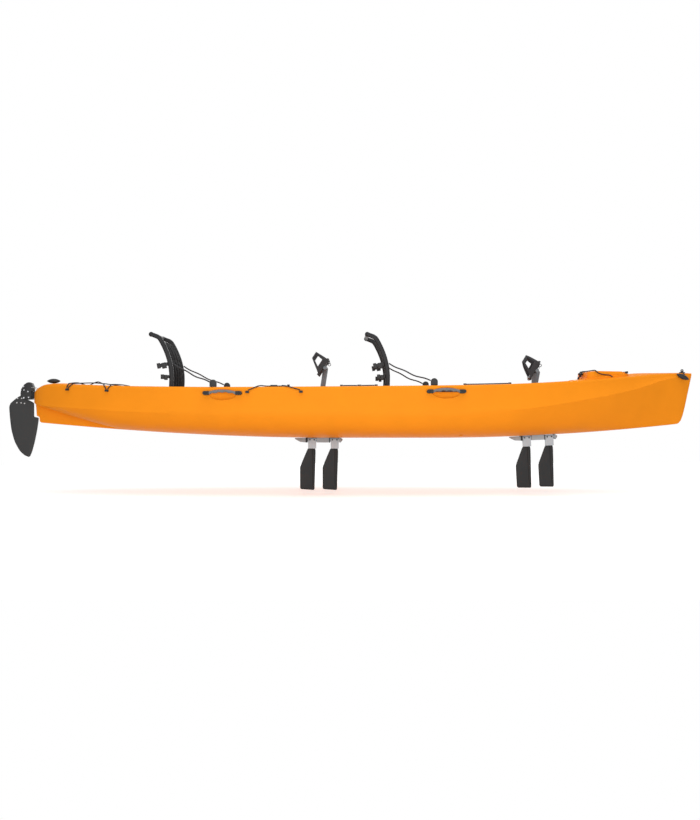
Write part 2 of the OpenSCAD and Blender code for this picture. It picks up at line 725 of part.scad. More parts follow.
// A cord across the cargo well from starboard to port, each end as [x, run]
function crossing(from, to, up) =
    let (mid = lerp(from[0] + from[1], to[0] + to[1], 0.5), top = max(sheer(from[0]), sheer(to[0])))
    concat(
        up_edge(from[0], from[1], -1),
        [[mid, 0, top + cord_d + crown(mid) + up]],
        turned(up_edge(to[0], to[1], 1))
    );
module cargo_bungee() {
    aft = [cargo_hooks[0] - hook_side, 12];
    aft_slant = [cargo_hooks[0] + hook_side, 34];
    fore = [cargo_hooks[1] + hook_side, 26];
    fore_slant = [cargo_hooks[1] - hook_side, -26];
    color(trim_black) {
        cord(crossing(aft, aft, 0), cord_d);
        cord(crossing(fore, fore, 0), cord_d);
        cord(crossing(aft_slant, fore_slant, 0), cord_d);
        cord(crossing(fore_slant, aft_slant, cord_d + 1), cord_d);
    }
}

// Rudder, hung on a vertical pin behind the stern
steer_x = -half_l - steer_back;
blade_pivot = [steer_x - 49, 268];
tube_z0 = 264;
tube_z1 = 312;
tube_r = 14;
module side_plate(points, t) {
    rotate([90, 0, 0]) linear_extrude(t, center = true) polygon([for (p = points) [steer_x + p[0], p[1]]]);
}
module rudder_bracket() {
    plate_t = 6;
    color(trim_black) difference() {
        union() {
            translate([steer_x, 0, tube_z0]) cylinder(h = tube_z1 - tube_z0, r = tube_r);
            translate([steer_x, -8, tube_z0]) cube([steer_back - seat_gap, 16, tube_z1 - tube_z0]);
            translate([-half_l - plate_t - seat_gap, -18, tube_z0])
                cube([plate_t, 36, tube_z1 - tube_z0]);
        }
        translate([steer_x, 0, tube_z0 - 20]) cylinder(h = 120, r = steer_pin_r + run_gap);
    }
}
module rudder_pin() {
    color(steel) translate([steer_x, 0, 258]) {
        cylinder(h = 90, r = steer_pin_r);
    }
}
HEAD_SIDE = [
    [-71, 284], [-71, 300], [-66, 328], [-47, 357], [-30, 369], [-16, 373], [3, 366], [14, 340],
    [14, 257], [-32, 255], [-71, 276]
];
module rudder_head() {
    slot = blade_t + 2 * pass_gap;
    swing_r = 50;
    swing_fore = 10;
    color(trim_black) difference() {
        side_plate(HEAD_SIDE, head_w);
        // Room for the bearing tube on the stern
        translate([steer_x, 0, tube_z0 - pass_gap])
            cylinder(h = tube_z1 - tube_z0 + 2 * pass_gap, r = tube_r + 2 * pass_gap);
        translate([steer_x, -head_w, tube_z0 - pass_gap])
            cube([60, 2 * head_w, tube_z1 - tube_z0 + 2 * pass_gap]);
        // Bore for the steering pin
        translate([steer_x, 0, 200]) cylinder(h = 149, r = steer_pin_r + run_gap);
        // Fork for the blade
        translate([blade_pivot[0], 0, blade_pivot[1]]) rotate([90, 0, 0])
            cylinder(h = slot, r = swing_r, center = true);
        translate([blade_pivot[0] - 80, -slot / 2, blade_pivot[1] - 60])
            cube([80 + swing_fore, slot, 200]);
        translate([blade_pivot[0] - 5, -slot / 2, 200]) cube([80, slot, 62]);
        translate([blade_pivot[0], 0, blade_pivot[1]]) rotate([90, 0, 0])
            cylinder(h = 2 * head_w, r = blade_pin_r + run_gap, center = true);
    }
}
module rudder_blade_pin() {
    color(steel) translate([blade_pivot[0], 0, blade_pivot[1]]) rotate([90, 0, 0])
        cylinder(h = head_w, r = blade_pin_r, center = true);
}
// Outline of the blade from its top corner round the leading and trailing edges
BLADE_SIDE = [
    [-82, 281], [-66, 276], [-24, 253], [6, 239], [14, 231], [14, 140], [44, 134], [44, 115],
    [34, 49], [19, -26], [1, -93], [-13, -126], [-23, -131], [-52, -119], [-85, -88],
    [-118, -27], [-139, 49], [-148, 120], [-154, 196], [-153, 212], [-146, 231], [-127, 248], [-104, 267]
];
module rudder_blade() {
    color(fin_grey) difference() {
        side_plate(BLADE_SIDE, blade_t);
        translate([blade_pivot[0], 0, blade_pivot[1]]) rotate([90, 0, 0])
            cylinder(h = 60, r = blade_pin_r + run_gap, center = true);
    }
}
line_d = 3;
line_z = 337;
line_y = head_w / 2 + line_d / 2 + seat_gap;
line_end_x = 16 - half_l;
LINE_PATH = [
    [steer_x + 2, line_y, line_z], [steer_x + 20, line_y + 0.5, line_z],
    [line_end_x, line_y + 1, deck_z(line_end_x, line_y + 1) + line_d / 2 + 2 * seat_gap]
];
module steering_lines() {
    color([0.75, 0.75, 0.72]) both_sides() cord(LINE_PATH, line_d);
}

// Hand lever for the rudder, on the port gunwale beside the rear seat
lever_x = -620;
lever_y = 337;
lever_boss_r = 14;
lever_boss_h = 12;
lever_pin_r = 6;
module steering_base() {
    color(trim_black) translate([lever_x, lever_y, sheer(lever_x) + seat_gap]) difference() {
        cylinder(h = lever_boss_h, r1 = lever_boss_r + 4, r2 = lever_boss_r);
        translate([0, 0, 2]) cylinder(h = 30, r = lever_pin_r + run_gap);
    }
}
module steering_lever() {
    arm_l = 92;
    color(trim_black) translate([lever_x, lever_y, sheer(lever_x) + seat_gap]) {
        translate([0, 0, 2 + seat_gap]) cylinder(h = lever_boss_h, r = lever_pin_r);
        translate([0, 0, lever_boss_h + seat_gap]) {
            cylinder(h = 10, r = lever_boss_r - 2);
            translate([0, -6, 0]) cube([arm_l, 12, 8]);
            translate([arm_l, 0, 0]) cylinder(h = 20, r = 9);
        }
    }
}

// Seats: a cushion in the pan, and a padded back on two curved rails
// Back line, as [height above the hinge, forward offset]
BACK = [
    [0, 0], [44, 1], [118, 4], [193, 5], [270, -6], [342, -29], [405, -59], [432, -78], [444, -101]
];
function back_x(h) = fair(BACK, h, 1);
roll_x = -128;
roll_z = 453;
function back_normal(h) = let (s = (back_x(h + 2) - back_x(h - 2)) / 4) [1, -s] / sqrt(1 + s * s);
rail_y = back_w - rail_w / 2;
function rail_steps() = concat([for (h = [2:22:420]) h], [429, 438]);
module rail_outline() {
    hs = rail_steps();
    n = len(hs);
    polygon(concat(
        [for (h = hs) [back_x(h), h] + rail_d / 2 * back_normal(h)],
        [[roll_x, roll_z + rail_d / 2], [roll_x, roll_z - rail_d / 2]],
        [for (i = [n - 1:-1:0]) [back_x(hs[i]), hs[i]] - rail_d / 2 * back_normal(hs[i])]
    ));
}
module at_seat(x) { translate([x, 0, seat_floor + hinge_h]) children(); }
lug_w = 24;
lug_y = 110;
module seat_frame(x) {
    color(seat_black) at_seat(x) {
        for (m = [-1, 1]) translate([0, m * rail_y, 0]) rotate([90, 0, 0])
            linear_extrude(rail_w, center = true) rail_outline();
        translate([roll_x, 0, roll_z]) rotate([90, 0, 0]) cylinder(h = 2 * back_w, r = roll_r, center = true);
        rotate([90, 0, 0]) cylinder(h = 2 * back_w, r = hinge_r, center = true);
    }
}
// Crowned sheet between rails, quilted into upright channels
pad_rows = 14;
pad_cols = 16;
pad_channels = 4;
function swell(t) = (1 - t ^ 4) ^ 0.5;
function quilt(u) = 1 - 0.25 * abs(cos(90 * pad_channels * (u + 1))) ^ 6;
function pad_point(u, v, side) =
    let (low = 26, high = 414, h = lerp(low, high, (v + 1) / 2),
         t = side > 0 ? (0.25 + 0.75 * swell(u) * swell(v) * quilt(u)) * pad_t - 8 : -8,
         in = 1 - 0.03 * (1 - v * v) * abs(u),
         p = [back_x(h), h] + t * back_normal(h))
    [p[0], u * in * (back_w - rail_w - seat_gap), p[1]];
// Closed sheet from a function of two parameters and a side
module sheet(cols, rows, f) {
    n = (cols + 1) * (rows + 1);
    function at(i, j, s) = s * n + j * (cols + 1) + i;
    function edge(a, b) = [[a, a + n, b + n], [a, b + n, b]];
    polyhedron(
        points = [for (s = [1, -1], j = [0:rows], i = [0:cols]) f(2 * i / cols - 1, 2 * j / rows - 1, s)],
        faces = concat(
            [for (j = [0:rows - 1], i = [0:cols - 1]) each
                [[at(i, j, 0), at(i + 1, j + 1, 0), at(i + 1, j, 0)],
                 [at(i, j, 0), at(i, j + 1, 0), at(i + 1, j + 1, 0)],
                 [at(i, j, 1), at(i + 1, j, 1), at(i + 1, j + 1, 1)],
                 [at(i, j, 1), at(i + 1, j + 1, 1), at(i, j + 1, 1)]]],
            [for (i = [0:cols - 1]) each edge(at(i + 1, 0, 0), at(i, 0, 0))],
            [for (i = [0:cols - 1]) each edge(at(i, rows, 0), at(i + 1, rows, 0))],
            [for (j = [0:rows - 1]) each edge(at(0, j, 0), at(0, j + 1, 0))],
            [for (j = [0:rows - 1]) each edge(at(cols, j + 1, 0), at(cols, j, 0))]
        )
    );
}
module seat_pad(x) {
    color(seat_black) at_seat(x) sheet(pad_cols, pad_rows, function (u, v, s) pad_point(u, v, s));
}
// Snap clips and strap ends on the back of the rails, as [height, reach, thickness]
CLIPS = [[262, 70, 34], [176, 54, 30]];
module seat_clips(x) {
    clip_w = 18;
    clip_gap = 0.8;
    tip_l = 20;
    color(trim_black) at_seat(x) for (m = [-1, 1], c = CLIPS) {
        n = back_normal(c[0]);
        off = rail_d / 2 + clip_gap;
        translate([back_x(c[0]) - off * n[0], m * rail_y, c[0] - off * n[1]])
        rotate([0, -atan2(n[1], n[0]), 0]) {
            translate([-c[1], -clip_w / 2, -c[2] / 3]) cube([c[1], clip_w, c[2] / 1.5]);
            translate([-c[1], -clip_w / 2 - 2, -c[2] / 2]) cube([tip_l, clip_w + 4, c[2]]);
            translate([-c[1] / 2 - 4, -clip_w / 2 - 3, -0.7 * c[2]])
                cube([c[1] / 2 - 8, clip_w + 6, 1.1 * c[2]]);
        }
    }
}
anchor_y = 345;
anchor_h = 40;
strap_h = 262;
function strap_path(x, m) =
    let (z0 = seat_floor + hinge_h + strap_h, z1 = sheer(x + strap_reach) + anchor_h - 8,
         a = [x + back_x(strap_h) + rail_d / 2 + 4, m * rail_y, z0],
         b = [x + strap_reach - 24, m * (anchor_y - 2), z1])
    [for (i = [0:10]) let (t = i / 10) lerp(a, b, t) + [0, 0, -9 * sin(180 * t) + 3 * sin(720 * t)]];
module seat_straps(x) { color(trim_black) for (m = [-1, 1]) cord(strap_path(x, m), strap_d); }
module strap_anchors() {
    anchor_l = 44;
    anchor_w = 24;
    color(trim_black) both_sides() for (x = [front_seat_x, rear_seat_x])
        translate([x + strap_reach, anchor_y, sheer(x + strap_reach) + 2 * seat_gap]) rotate([90, 0, 0])
            linear_extrude(anchor_w, center = true) {
                translate([-anchor_l / 2, 0]) square([anchor_l, anchor_h - anchor_l / 2 + 6]);
                translate([0, anchor_h - anchor_l / 2 + 6]) circle(r = anchor_l / 2);
            }
}
function base_point(u, v, side) =
    let (lx = rail_d / 2 + 12, w = 200 - 0.03 * 200 * (1 - u * u) * abs(v),
         t = side > 0 ? (0.45 + 0.55 * swell(u) * swell(v)) * cushion_t : 0)
    [lx + cushion_l * (u + 1) / 2, v * w, t];
module seat_base(x) {
    color(seat_black) translate([x, 0, seat_floor + seat_gap]) {
        translate([0, 0, 5.5]) sheet(14, 16, function (u, v, s) base_point(u, v, s));
        difference() {
            union() {
                translate([-24, -196, 0]) cube([cushion_l + 24, 392, 5]);
                for (m = [-1, 1]) translate([0, m * lug_y, 0]) {
                    translate([-hinge_r - 6, -lug_w / 2, 0])
                        cube([2 * hinge_r + 12, lug_w, hinge_h - seat_gap]);
                    translate([0, 0, hinge_h - seat_gap]) rotate([90, 0, 0])
                        cylinder(h = lug_w, r = hinge_r + 6, center = true);
                }
            }
            translate([0, 0, hinge_h - seat_gap]) rotate([90, 0, 0])
                cylinder(h = 600, r = hinge_r + run_gap, center = true);
        }
    }
}

// Pedal drives. Local origin: keel line at the middle of the drive
fin_axis_z = -drum_r - 0.5;
fairing_z = fin_axis_z - 18;
web_z = fin_axis_z + drum_r + 4;
end_leg = 8;
leg_in = drum_pitch / 2 + drum_l / 2 + pass_gap;
mid_half = drum_pitch / 2 - drum_l / 2 - pass_gap;
spine_half = leg_in + end_leg;
hub_r = 28;
hub_in = spine_w / 2 + pass_gap;
hub_w = 24;
crank_t = 16;
pedal_y = hub_in + hub_w + 6 + pedal_w / 2;
pedal_n = 16;
pedal_t = 12;
chain_slot = [12, 9];
function keel_slope(x) = atan((rocker(x + 50) - rocker(x - 50)) / 100);
module at_drive(x) { translate([x, 0, keel_z(x)]) rotate([0, -keel_slope(x), 0]) children(); }
flange_t = 6;
flange_out = 12;
post_l = 110;
post_r = 34;
module spine(x) {
    color(drive_grey) difference() {
        union() {
            at_drive(x) {
                translate([-spine_half, -spine_w / 2, web_z])
                    cube([2 * spine_half, spine_w, foot_floor - web_z - 10]);
                translate([-pivot_back - post_l / 2, -spine_w / 2, web_z])
                    cube([post_l, spine_w, pivot_h - web_z]);
                translate([-pivot_back, 0, pivot_h]) rotate([90, 0, 0])
                    cylinder(h = spine_w, r = post_r, center = true);
                translate([-mid_half, -spine_w / 2, fairing_z])
                    cube([2 * mid_half, spine_w, web_z - fairing_z + 1]);
                for (m = [-1, 1])
                    translate([m * (leg_in + end_leg / 2) - end_leg / 2, -spine_w / 2, fairing_z])
                        cube([end_leg, spine_w, web_z - fairing_z + 1]);
            }
            // Flange that carries the drive on the footwell floor
            translate([x - slot_l / 2 - flange_out, -slot_w / 2 - flange_out, foot_floor + seat_gap])
                cube([slot_l + 2 * flange_out, slot_w + 2 * flange_out, flange_t]);
        }
        at_drive(x) {
            translate([-pivot_back, 0, pivot_h]) rotate([90, 0, 0])
                cylinder(h = 2 * spine_w, r = pedal_shaft_r + run_gap, center = true);
            translate([0, 0, fin_axis_z]) rotate([0, 90, 0])
                cylinder(h = 3 * spine_half, r = fin_shaft_r + run_gap, center = true);
            for (m = [-1, 1])
                translate([m * drum_pitch / 2 - chain_slot[0] / 2, -chain_slot[1] / 2, web_z - 1])
                    cube([chain_slot[0], chain_slot[1], foot_floor - web_z - 20]);
        }
    }
}
tail_l = 78;
nose_l = 14;
module fairing(x) {
    tail_x = -spine_half - seat_gap;
    nose_x = spine_half + seat_gap;
    color(drive_grey) at_drive(x) difference() {
        union() {
            hull() {
                translate([tail_x - 2, -spine_w / 2 + 4, fairing_z]) cube([2, spine_w - 8, -fairing_z - 3]);
                translate([tail_x - tail_l + 4, 0, -7]) rotate([90, 0, 0])
                    cylinder(h = 10, r = 4, center = true, $fn = 24);
                translate([tail_x - tail_l / 2, 0, fairing_z + 9]) rotate([90, 0, 0])
                    cylinder(h = 30, r = 6, center = true, $fn = 24);
            }
            hull() {
                translate([nose_x, -spine_w / 2 + 4, fairing_z]) cube([2, spine_w - 8, -fairing_z - 3]);
                translate([nose_x + nose_l / 2, 0, fin_axis_z + 1]) rotate([90, 0, 0])
                    cylinder(h = 26, r = nose_l / 2, center = true, $fn = 24);
            }
        }
        translate([0, 0, fin_axis_z]) rotate([0, 90, 0])
            cylinder(h = 2 * spine_half + 2 * seat_gap + 10, r = fin_shaft_r + run_gap, center = true);
    }
}
module drive_shafts() {
    color(steel) for (x = [front_drive_x, rear_drive_x]) at_drive(x) {
        translate([-pivot_back, 0, pivot_h]) rotate([90, 0, 0])
            cylinder(h = 2 * (hub_in + hub_w) + 10, r = pedal_shaft_r, center = true);
        translate([0, 0, fin_axis_z]) rotate([0, 90, 0])
            cylinder(h = 2 * spine_half + 8, r = fin_shaft_r, center = true);
    }
}
module drive_chains() {
    play = 0.5;
    color(steel) for (x = [front_drive_x, rear_drive_x]) at_drive(x) for (m = [-1, 1])
        translate([m * drum_pitch / 2 - chain_slot[0] / 2 + play / 2,
                   -chain_slot[1] / 2 + play / 2, web_z - 3])
            cube([chain_slot[0] - play, chain_slot[1] - play, foot_floor - web_z - 20]);
}
// Cranks rise from hubs on the pedal shaft; side is 1 to port and -1 to starboard
module crank(x, length, lean, side) {
    color(drive_grey) at_drive(x) translate([-pivot_back, 0, pivot_h]) mirror([0, side > 0 ? 0 : 1, 0])
        rotate([0, lean, 0]) rotate([90, 0, 0]) translate([0, 0, -hub_in - hub_w]) difference() {
            union() {
                cylinder(h = hub_w, r = hub_r);
                translate([-crank_w / 2, 0, 0]) cube([crank_w, length, crank_t]);
                translate([0, length, 0]) cylinder(h = crank_t, r = crank_w / 2);
                translate([0, length, -pedal_w - 12]) cylinder(h = pedal_w + 13, r = pedal_pin_r);
                translate([0, length, -pedal_w - 12]) cylinder(h = 4, r = 2 * pedal_pin_r);
            }
            translate([0, 0, -1]) cylinder(h = hub_w + 2, r = pedal_shaft_r + run_gap);
        }
}
function pin_place(length, lean) = [length * sin(lean) - pivot_back, pivot_h + length * cos(lean)];
// Pedal plate and its foot strap. Local Z runs up the plate, local -X towards the foot
STRAP_ARCH = [for (i = [0:14]) let (a = 180 * i / 14) [(pedal_w / 2 + seat_gap) * cos(a), 98 * sin(a) ^ 0.5]];
module foot_strap() {
    t = 3;
    n = len(STRAP_ARCH);
    skin([for (i = [0:n - 1])
        let (p = STRAP_ARCH[i], q = STRAP_ARCH[min(i + 1, n - 1)] - STRAP_ARCH[max(i - 1, 0)],
             out = unit([q[1], -q[0]]) * t, rise = p[1] / 98,
             low = lerp(-pedal_l / 2 + 6, 10, rise), high = lerp(pedal_l / 2 - 6, 58, rise),
             base = -pedal_n + 3)
        [[base - p[1], p[0], high], [base - p[1] - out[1], p[0] + out[0], high],
         [base - p[1] - out[1], p[0] + out[0], low], [base - p[1], p[0], low]]]);
}
module pedal(x, length, lean, side) {
    pin = pin_place(length, lean);
    boss_w = 22;
    color(trim_black) at_drive(x) translate([pin[0], side * pedal_y, pin[1]]) rotate([0, pedal_tilt, 0]) {
        difference() {
            union() {
                translate([-pedal_n - pedal_t / 2, -pedal_w / 2, -pedal_l / 2])
                    cube([pedal_t, pedal_w, pedal_l]);
                for (m = [-1, 1]) translate([0, m * (pedal_w / 2 - boss_w / 2 - 6), 0]) {
                    rotate([90, 0, 0]) cylinder(h = boss_w, r = 12, center = true);
                    translate([-pedal_n, -boss_w / 2, -12]) cube([pedal_n, boss_w, 24]);
                }
            }
            rotate([90, 0, 0]) cylinder(h = 2 * pedal_w, r = pedal_pin_r + run_gap, center = true);
        }
        foot_strap();
    }
}
// Fin drums with their mast sockets and masts
mast_x = 8;
mast_top = fin_axis_z - 30;
fin_top = fin_axis_z - collar_h - seat_gap;
module drum(x, m) {
    color(collar_grey) at_drive(x) translate([m * drum_pitch / 2, 0, 0]) {
        difference() {
            union() {
                translate([0, 0, fin_axis_z]) rotate([0, 90, 0])
                    cylinder(h = drum_l, r = drum_r, center = true);
                translate([-27, -12, fin_axis_z - collar_h]) cube([54, 24, collar_h]);
            }
            translate([0, 0, fin_axis_z]) rotate([0, 90, 0])
                cylinder(h = 2 * drum_l, r = fin_shaft_r + run_gap, center = true);
            translate([mast_x, 0, mast_top - 200]) cylinder(h = 200, r = mast_r + run_gap);
        }
        translate([mast_x, 0, fin_top - fin_h + 30])
            cylinder(h = mast_top - fin_top + fin_h - 31, r = mast_r);
    }
}
module fin(x, m) {
    lead = 24;
    rake = 7;
    sleeve_r = mast_r + 4;
    skin_t = 6;
    color(fin_grey) at_drive(x) translate([m * drum_pitch / 2, 0, 0]) difference() {
        union() {
            rotate([90, 0, 0]) linear_extrude(skin_t, center = true) polygon([
                [lead, fin_top], [lead - rake, fin_top - fin_h + 8], [lead - rake - 6, fin_top - fin_h],
                [lead - fin_chord + 8, fin_top - fin_h + 5], [lead - fin_chord, fin_top - fin_h + 14],
                [lead - fin_chord - 1, fin_top - 128], [lead - fin_chord + 2, fin_top - 118],
                [lead - 56, fin_top - 5], [lead - 51, fin_top]
            ]);
            translate([mast_x, 0, fin_top - fin_h + 16]) cylinder(h = fin_h - 16, r = sleeve_r);
        }
        translate([mast_x, 0, fin_top - fin_h + 28]) cylinder(h = fin_h, r = mast_r + run_gap);
    }
}

hull_node();  // hull
hatch_lid();
hatch_seal();
hatch_hinge();
hatch_bungee();
hatch_tie_cords();
hatch_toggle();
round_hatch_rims();
round_lid(front_round_x);  // front_round_lid
round_lid(rear_round_x);  // rear_round_lid
side_handle_grips();
side_handle_ends();
handle_screws();
bow_handle();
stern_handle();
bow_tow_eye();
paddle_bungees();
cargo_bungee();
bungee_hooks();
rudder_bracket();
rudder_pin();
rudder_head();
rudder_blade();
rudder_blade_pin();
steering_lines();
steering_base();
steering_lever();
seat_base(front_seat_x);  // front_seat_base
seat_frame(front_seat_x);  // front_seat_frame
seat_pad(front_seat_x);  // front_seat_pad
seat_clips(front_seat_x);  // front_seat_clips
seat_straps(front_seat_x);  // front_seat_straps
seat_base(rear_seat_x);  // rear_seat_base
seat_frame(rear_seat_x);  // rear_seat_frame
seat_pad(rear_seat_x);  // rear_seat_pad
seat_clips(rear_seat_x);  // rear_seat_clips
seat_straps(rear_seat_x);  // rear_seat_straps
strap_anchors();
drive_shafts();
drive_chains();
spine(front_drive_x);  // front_spine
fairing(front_drive_x);  // front_fairing
crank(front_drive_x, front_crank_l, front_port_lean, 1);  // front_crank_left
crank(front_drive_x, front_crank_l, front_lean, -1);  // front_crank_right
pedal(front_drive_x, front_crank_l, front_port_lean, 1);  // front_pedal_left
pedal(front_drive_x, front_crank_l, front_lean, -1);  // front_pedal_right
drum(front_drive_x, 1);  // front_drum_fore
drum(front_drive_x, -1);  // front_drum_aft
fin(front_drive_x, 1);  // front_fin_fore
fin(front_drive_x, -1);  // front_fin_aft
spine(rear_drive_x);  // rear_spine
fairing(rear_drive_x);  // rear_fairing
crank(rear_drive_x, rear_crank_l, rear_lean, 1);  // rear_crank_left
crank(rear_drive_x, rear_crank_l, rear_lean, -1);  // rear_crank_right
pedal(rear_drive_x, rear_crank_l, rear_lean, 1);  // rear_pedal_left
pedal(rear_drive_x, rear_crank_l, rear_lean, -1);  // rear_pedal_right
drum(rear_drive_x, 1);  // rear_drum_fore
drum(rear_drive_x, -1);  // rear_drum_aft
fin(rear_drive_x, 1);  // rear_fin_fore
fin(rear_drive_x, -1);  // rear_fin_aft
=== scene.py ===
import math

import bmesh
import bpy
from mathutils import Matrix, Vector


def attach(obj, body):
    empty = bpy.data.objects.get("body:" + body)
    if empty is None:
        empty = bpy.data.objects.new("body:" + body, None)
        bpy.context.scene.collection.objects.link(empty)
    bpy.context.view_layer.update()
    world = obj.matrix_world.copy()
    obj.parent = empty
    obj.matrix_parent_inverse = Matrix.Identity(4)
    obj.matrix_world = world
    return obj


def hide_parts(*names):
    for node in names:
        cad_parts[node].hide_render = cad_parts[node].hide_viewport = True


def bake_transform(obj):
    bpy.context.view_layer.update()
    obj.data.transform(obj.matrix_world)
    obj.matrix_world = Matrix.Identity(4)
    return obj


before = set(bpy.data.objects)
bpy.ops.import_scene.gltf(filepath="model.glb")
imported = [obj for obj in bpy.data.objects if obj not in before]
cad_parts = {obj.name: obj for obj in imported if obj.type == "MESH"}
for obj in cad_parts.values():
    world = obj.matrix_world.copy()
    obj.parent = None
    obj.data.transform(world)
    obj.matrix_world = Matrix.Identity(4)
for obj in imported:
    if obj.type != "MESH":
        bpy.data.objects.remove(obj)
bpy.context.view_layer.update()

# Hull shell
# One rotomoulded polyethylene shell, orange right through, with a lightly pebbled, satin skin. The wells,
# drive slots, drain holes and finger recesses are part of it. Lengths in this file are in millimetres.
HALF_L = 2210
HALF_B = 420
GUNWALE = 338
BOW_DECK = 434
STERN_DECK = 358
BOW_RISE = 103
STERN_RISE = 105
FLAT_AFT, FLAT_FORE = -250, 450
SKEG_FROM = -1600
SKEG_RISE = 122
EDGE_R = 22
CAMBER = 19
# Station, breadth at the knuckle, breadth of the deck, height of the knuckle, sheer and camber, as shares
LINES = [
    [-1.000, 0.085, 0.068, 0.695, -1.45, 0.15],
    [-0.986, 0.215, 0.187, 0.665, -0.40, 0.30],
    [-0.950, 0.357, 0.320, 0.628, 0.90, 0.42],
    [-0.860, 0.548, 0.505, 0.591, 0.75, 0.42],
    [-0.679, 0.762, 0.715, 0.517, 0.15, 0.10],
    [-0.452, 0.917, 0.872, 0.483, -0.20, 0.00],
    [-0.226, 0.988, 0.946, 0.473, -0.15, 0.00],
    [0.000, 1.000, 0.957, 0.473, 0.00, 0.00],
    [0.226, 0.952, 0.905, 0.476, 0.06, 0.00],
    [0.452, 0.822, 0.757, 0.562, 0.19, 0.00],
    [0.679, 0.583, 0.493, 0.781, 0.51, 0.50],
    [0.814, 0.357, 0.281, 0.962, 0.77, 1.00],
    [0.905, 0.179, 0.131, 1.139, 0.94, 0.37],
    [0.973, 0.067, 0.050, 1.207, 1.00, 0.10],
    [1.000, 0.020, 0.017, 1.236, 0.99, 0.00],
]
# Station as a share, half breadth of the keel and fullness of the bilge
KEEL = [
    [-1.00, 9, 0.60],
    [-0.93, 17, 0.70],
    [-0.72, 26, 0.82],
    [-0.35, 40, 0.90],
    [0.30, 40, 0.90],
    [0.60, 22, 0.72],
    [0.85, 9, 0.55],
    [1.00, 3, 0.50],
]
# Distance from the end of the hull and share of the rise there
STEM = [[0, 0.94], [20, 0.68], [47, 0.31], [61, 0.15], [74, 0.055], [88, 0.01], [100, 0]]
STERN = [[0, 0.51], [4, 0.48], [8, 0.17], [26, 0.145], [29, 0.03], [40, 0]]


def fair(rows, x, c):
    """Smooth curve through rows of station and values."""
    last = len(rows) - 1
    i = 0
    while i < last - 1 and x >= rows[i + 1][0]:
        i += 1

    def grade(k):
        a, b = rows[max(k - 1, 0)], rows[min(k + 1, last)]
        return (b[c] - a[c]) / (b[0] - a[0])

    p, q = rows[i], rows[i + 1]
    h = q[0] - p[0]
    t = (x - p[0]) / h
    start = (2 * t**3 - 3 * t**2 + 1) * p[c] + (t**3 - 2 * t**2 + t) * h * grade(i)
    return start + (3 * t**2 - 2 * t**3) * q[c] + (t**3 - t**2) * h * grade(i + 1)


def between(rows, x):
    """Straight line between rows of place and value."""
    if x >= rows[-1][0]:
        return rows[-1][1]
    for p, q in zip(rows, rows[1:]):
        if x < q[0]:
            return p[1] + (q[1] - p[1]) * max(x - p[0], 0) / (q[0] - p[0])


def rocker(x):
    fore = (x - FLAT_FORE) / (HALF_L - FLAT_FORE)
    aft = (FLAT_AFT - x) / (HALF_L + FLAT_AFT)
    if fore > 0:
        return BOW_RISE * fore**2
    return STERN_RISE * aft**1.8 if aft > 0 else 0


def keel_z(x):
    stem_rise = between(STEM, HALF_L - x) * (BOW_DECK - BOW_RISE)
    return rocker(x) + stem_rise + between(STERN, x + HALF_L) * (STERN_DECK - STERN_RISE)


def sheer(x):
    end = STERN_DECK if x < 0 else BOW_DECK
    return GUNWALE + fair(LINES, x / HALF_L, 4) * (end - GUNWALE)


def crown(x):
    return CAMBER * max(fair(LINES, x / HALF_L, 5), 0)


def deck_breadth(x):
    return HALF_B * fair(LINES, x / HALF_L, 2)


def section(x):
    """Heights and half breadths that shape one station."""
    zk = keel_z(x)
    lift = SKEG_RISE * ((SKEG_FROM - x) / (HALF_L + SKEG_FROM)) ** 1.2 if x < SKEG_FROM else 0
    zc = max(zk + 2, rocker(x) + lift)
    zm = max(GUNWALE * fair(LINES, x / HALF_L, 3), zc + 4)
    zd = max(sheer(x), zm + 4)
    b, g = HALF_B * fair(LINES, x / HALF_L, 1), deck_breadth(x)
    wk = max(fair(KEEL, x / HALF_L, 1), 2)
    return zk, zc, zm, zd, b, g, wk, min(EDGE_R, 0.45 * (zd - zm), 0.6 * g)


def flare(b, g, t):
    """Half breadth of the topsides at a share of the way from the knuckle to the deck edge."""
    return b + (g - b) * (0.2 * t + 0.8 * t * (1.5 - 0.5 * t))


def bent(p, q, r, t):
    """Point at a share of a curve from p to r that leans towards q."""
    return (1 - t) ** 2 * p + 2 * t * (1 - t) * q + t * t * r


def half_ring(x):
    """Half a section from the keel round to the middle of the deck, as breadth and height."""
    zk, zc, zm, zd, b, g, wk, re = section(x)
    y2 = min(wk + 7, 0.7 * b)
    full = fair(KEEL, x / HALF_L, 2)
    yc, zq = y2 + full * (b - y2), zc + (1 - full) * 0.35 * (zm - zc)
    points = [(0, zk), (0.8 * min(wk, y2 - 1), zk), (min(wk, y2 - 1), zk + 0.1 * (zc - zk)), (y2, zc)]
    for i in range(1, 14):
        t = i / 14
        points.append((bent(y2, yc, b, t), bent(zc, zq, zm, t)))
    top = zd - re
    for i in range(9):
        t = i / 8
        points.append((flare(b, g, t), zm + (top - zm) * t))
    for i in range(1, 9):
        a = math.radians(90 * i / 8)
        points.append((g - re + re * math.cos(a), top + re * math.sin(a)))
    for i in range(1, 7):
        t = 1 - i / 6
        points.append((t * (g - re), zd + crown(x) * (1 - t**1.2)))
    return points


def side_y(x, z):
    """Half breadth of the topsides at a height between the knuckle and the deck edge."""
    zm, zd, b, g, re = (section(x)[k] for k in (2, 3, 4, 5, 7))
    return flare(b, g, min(max((z - zm) / (zd - re - zm), 0), 1))


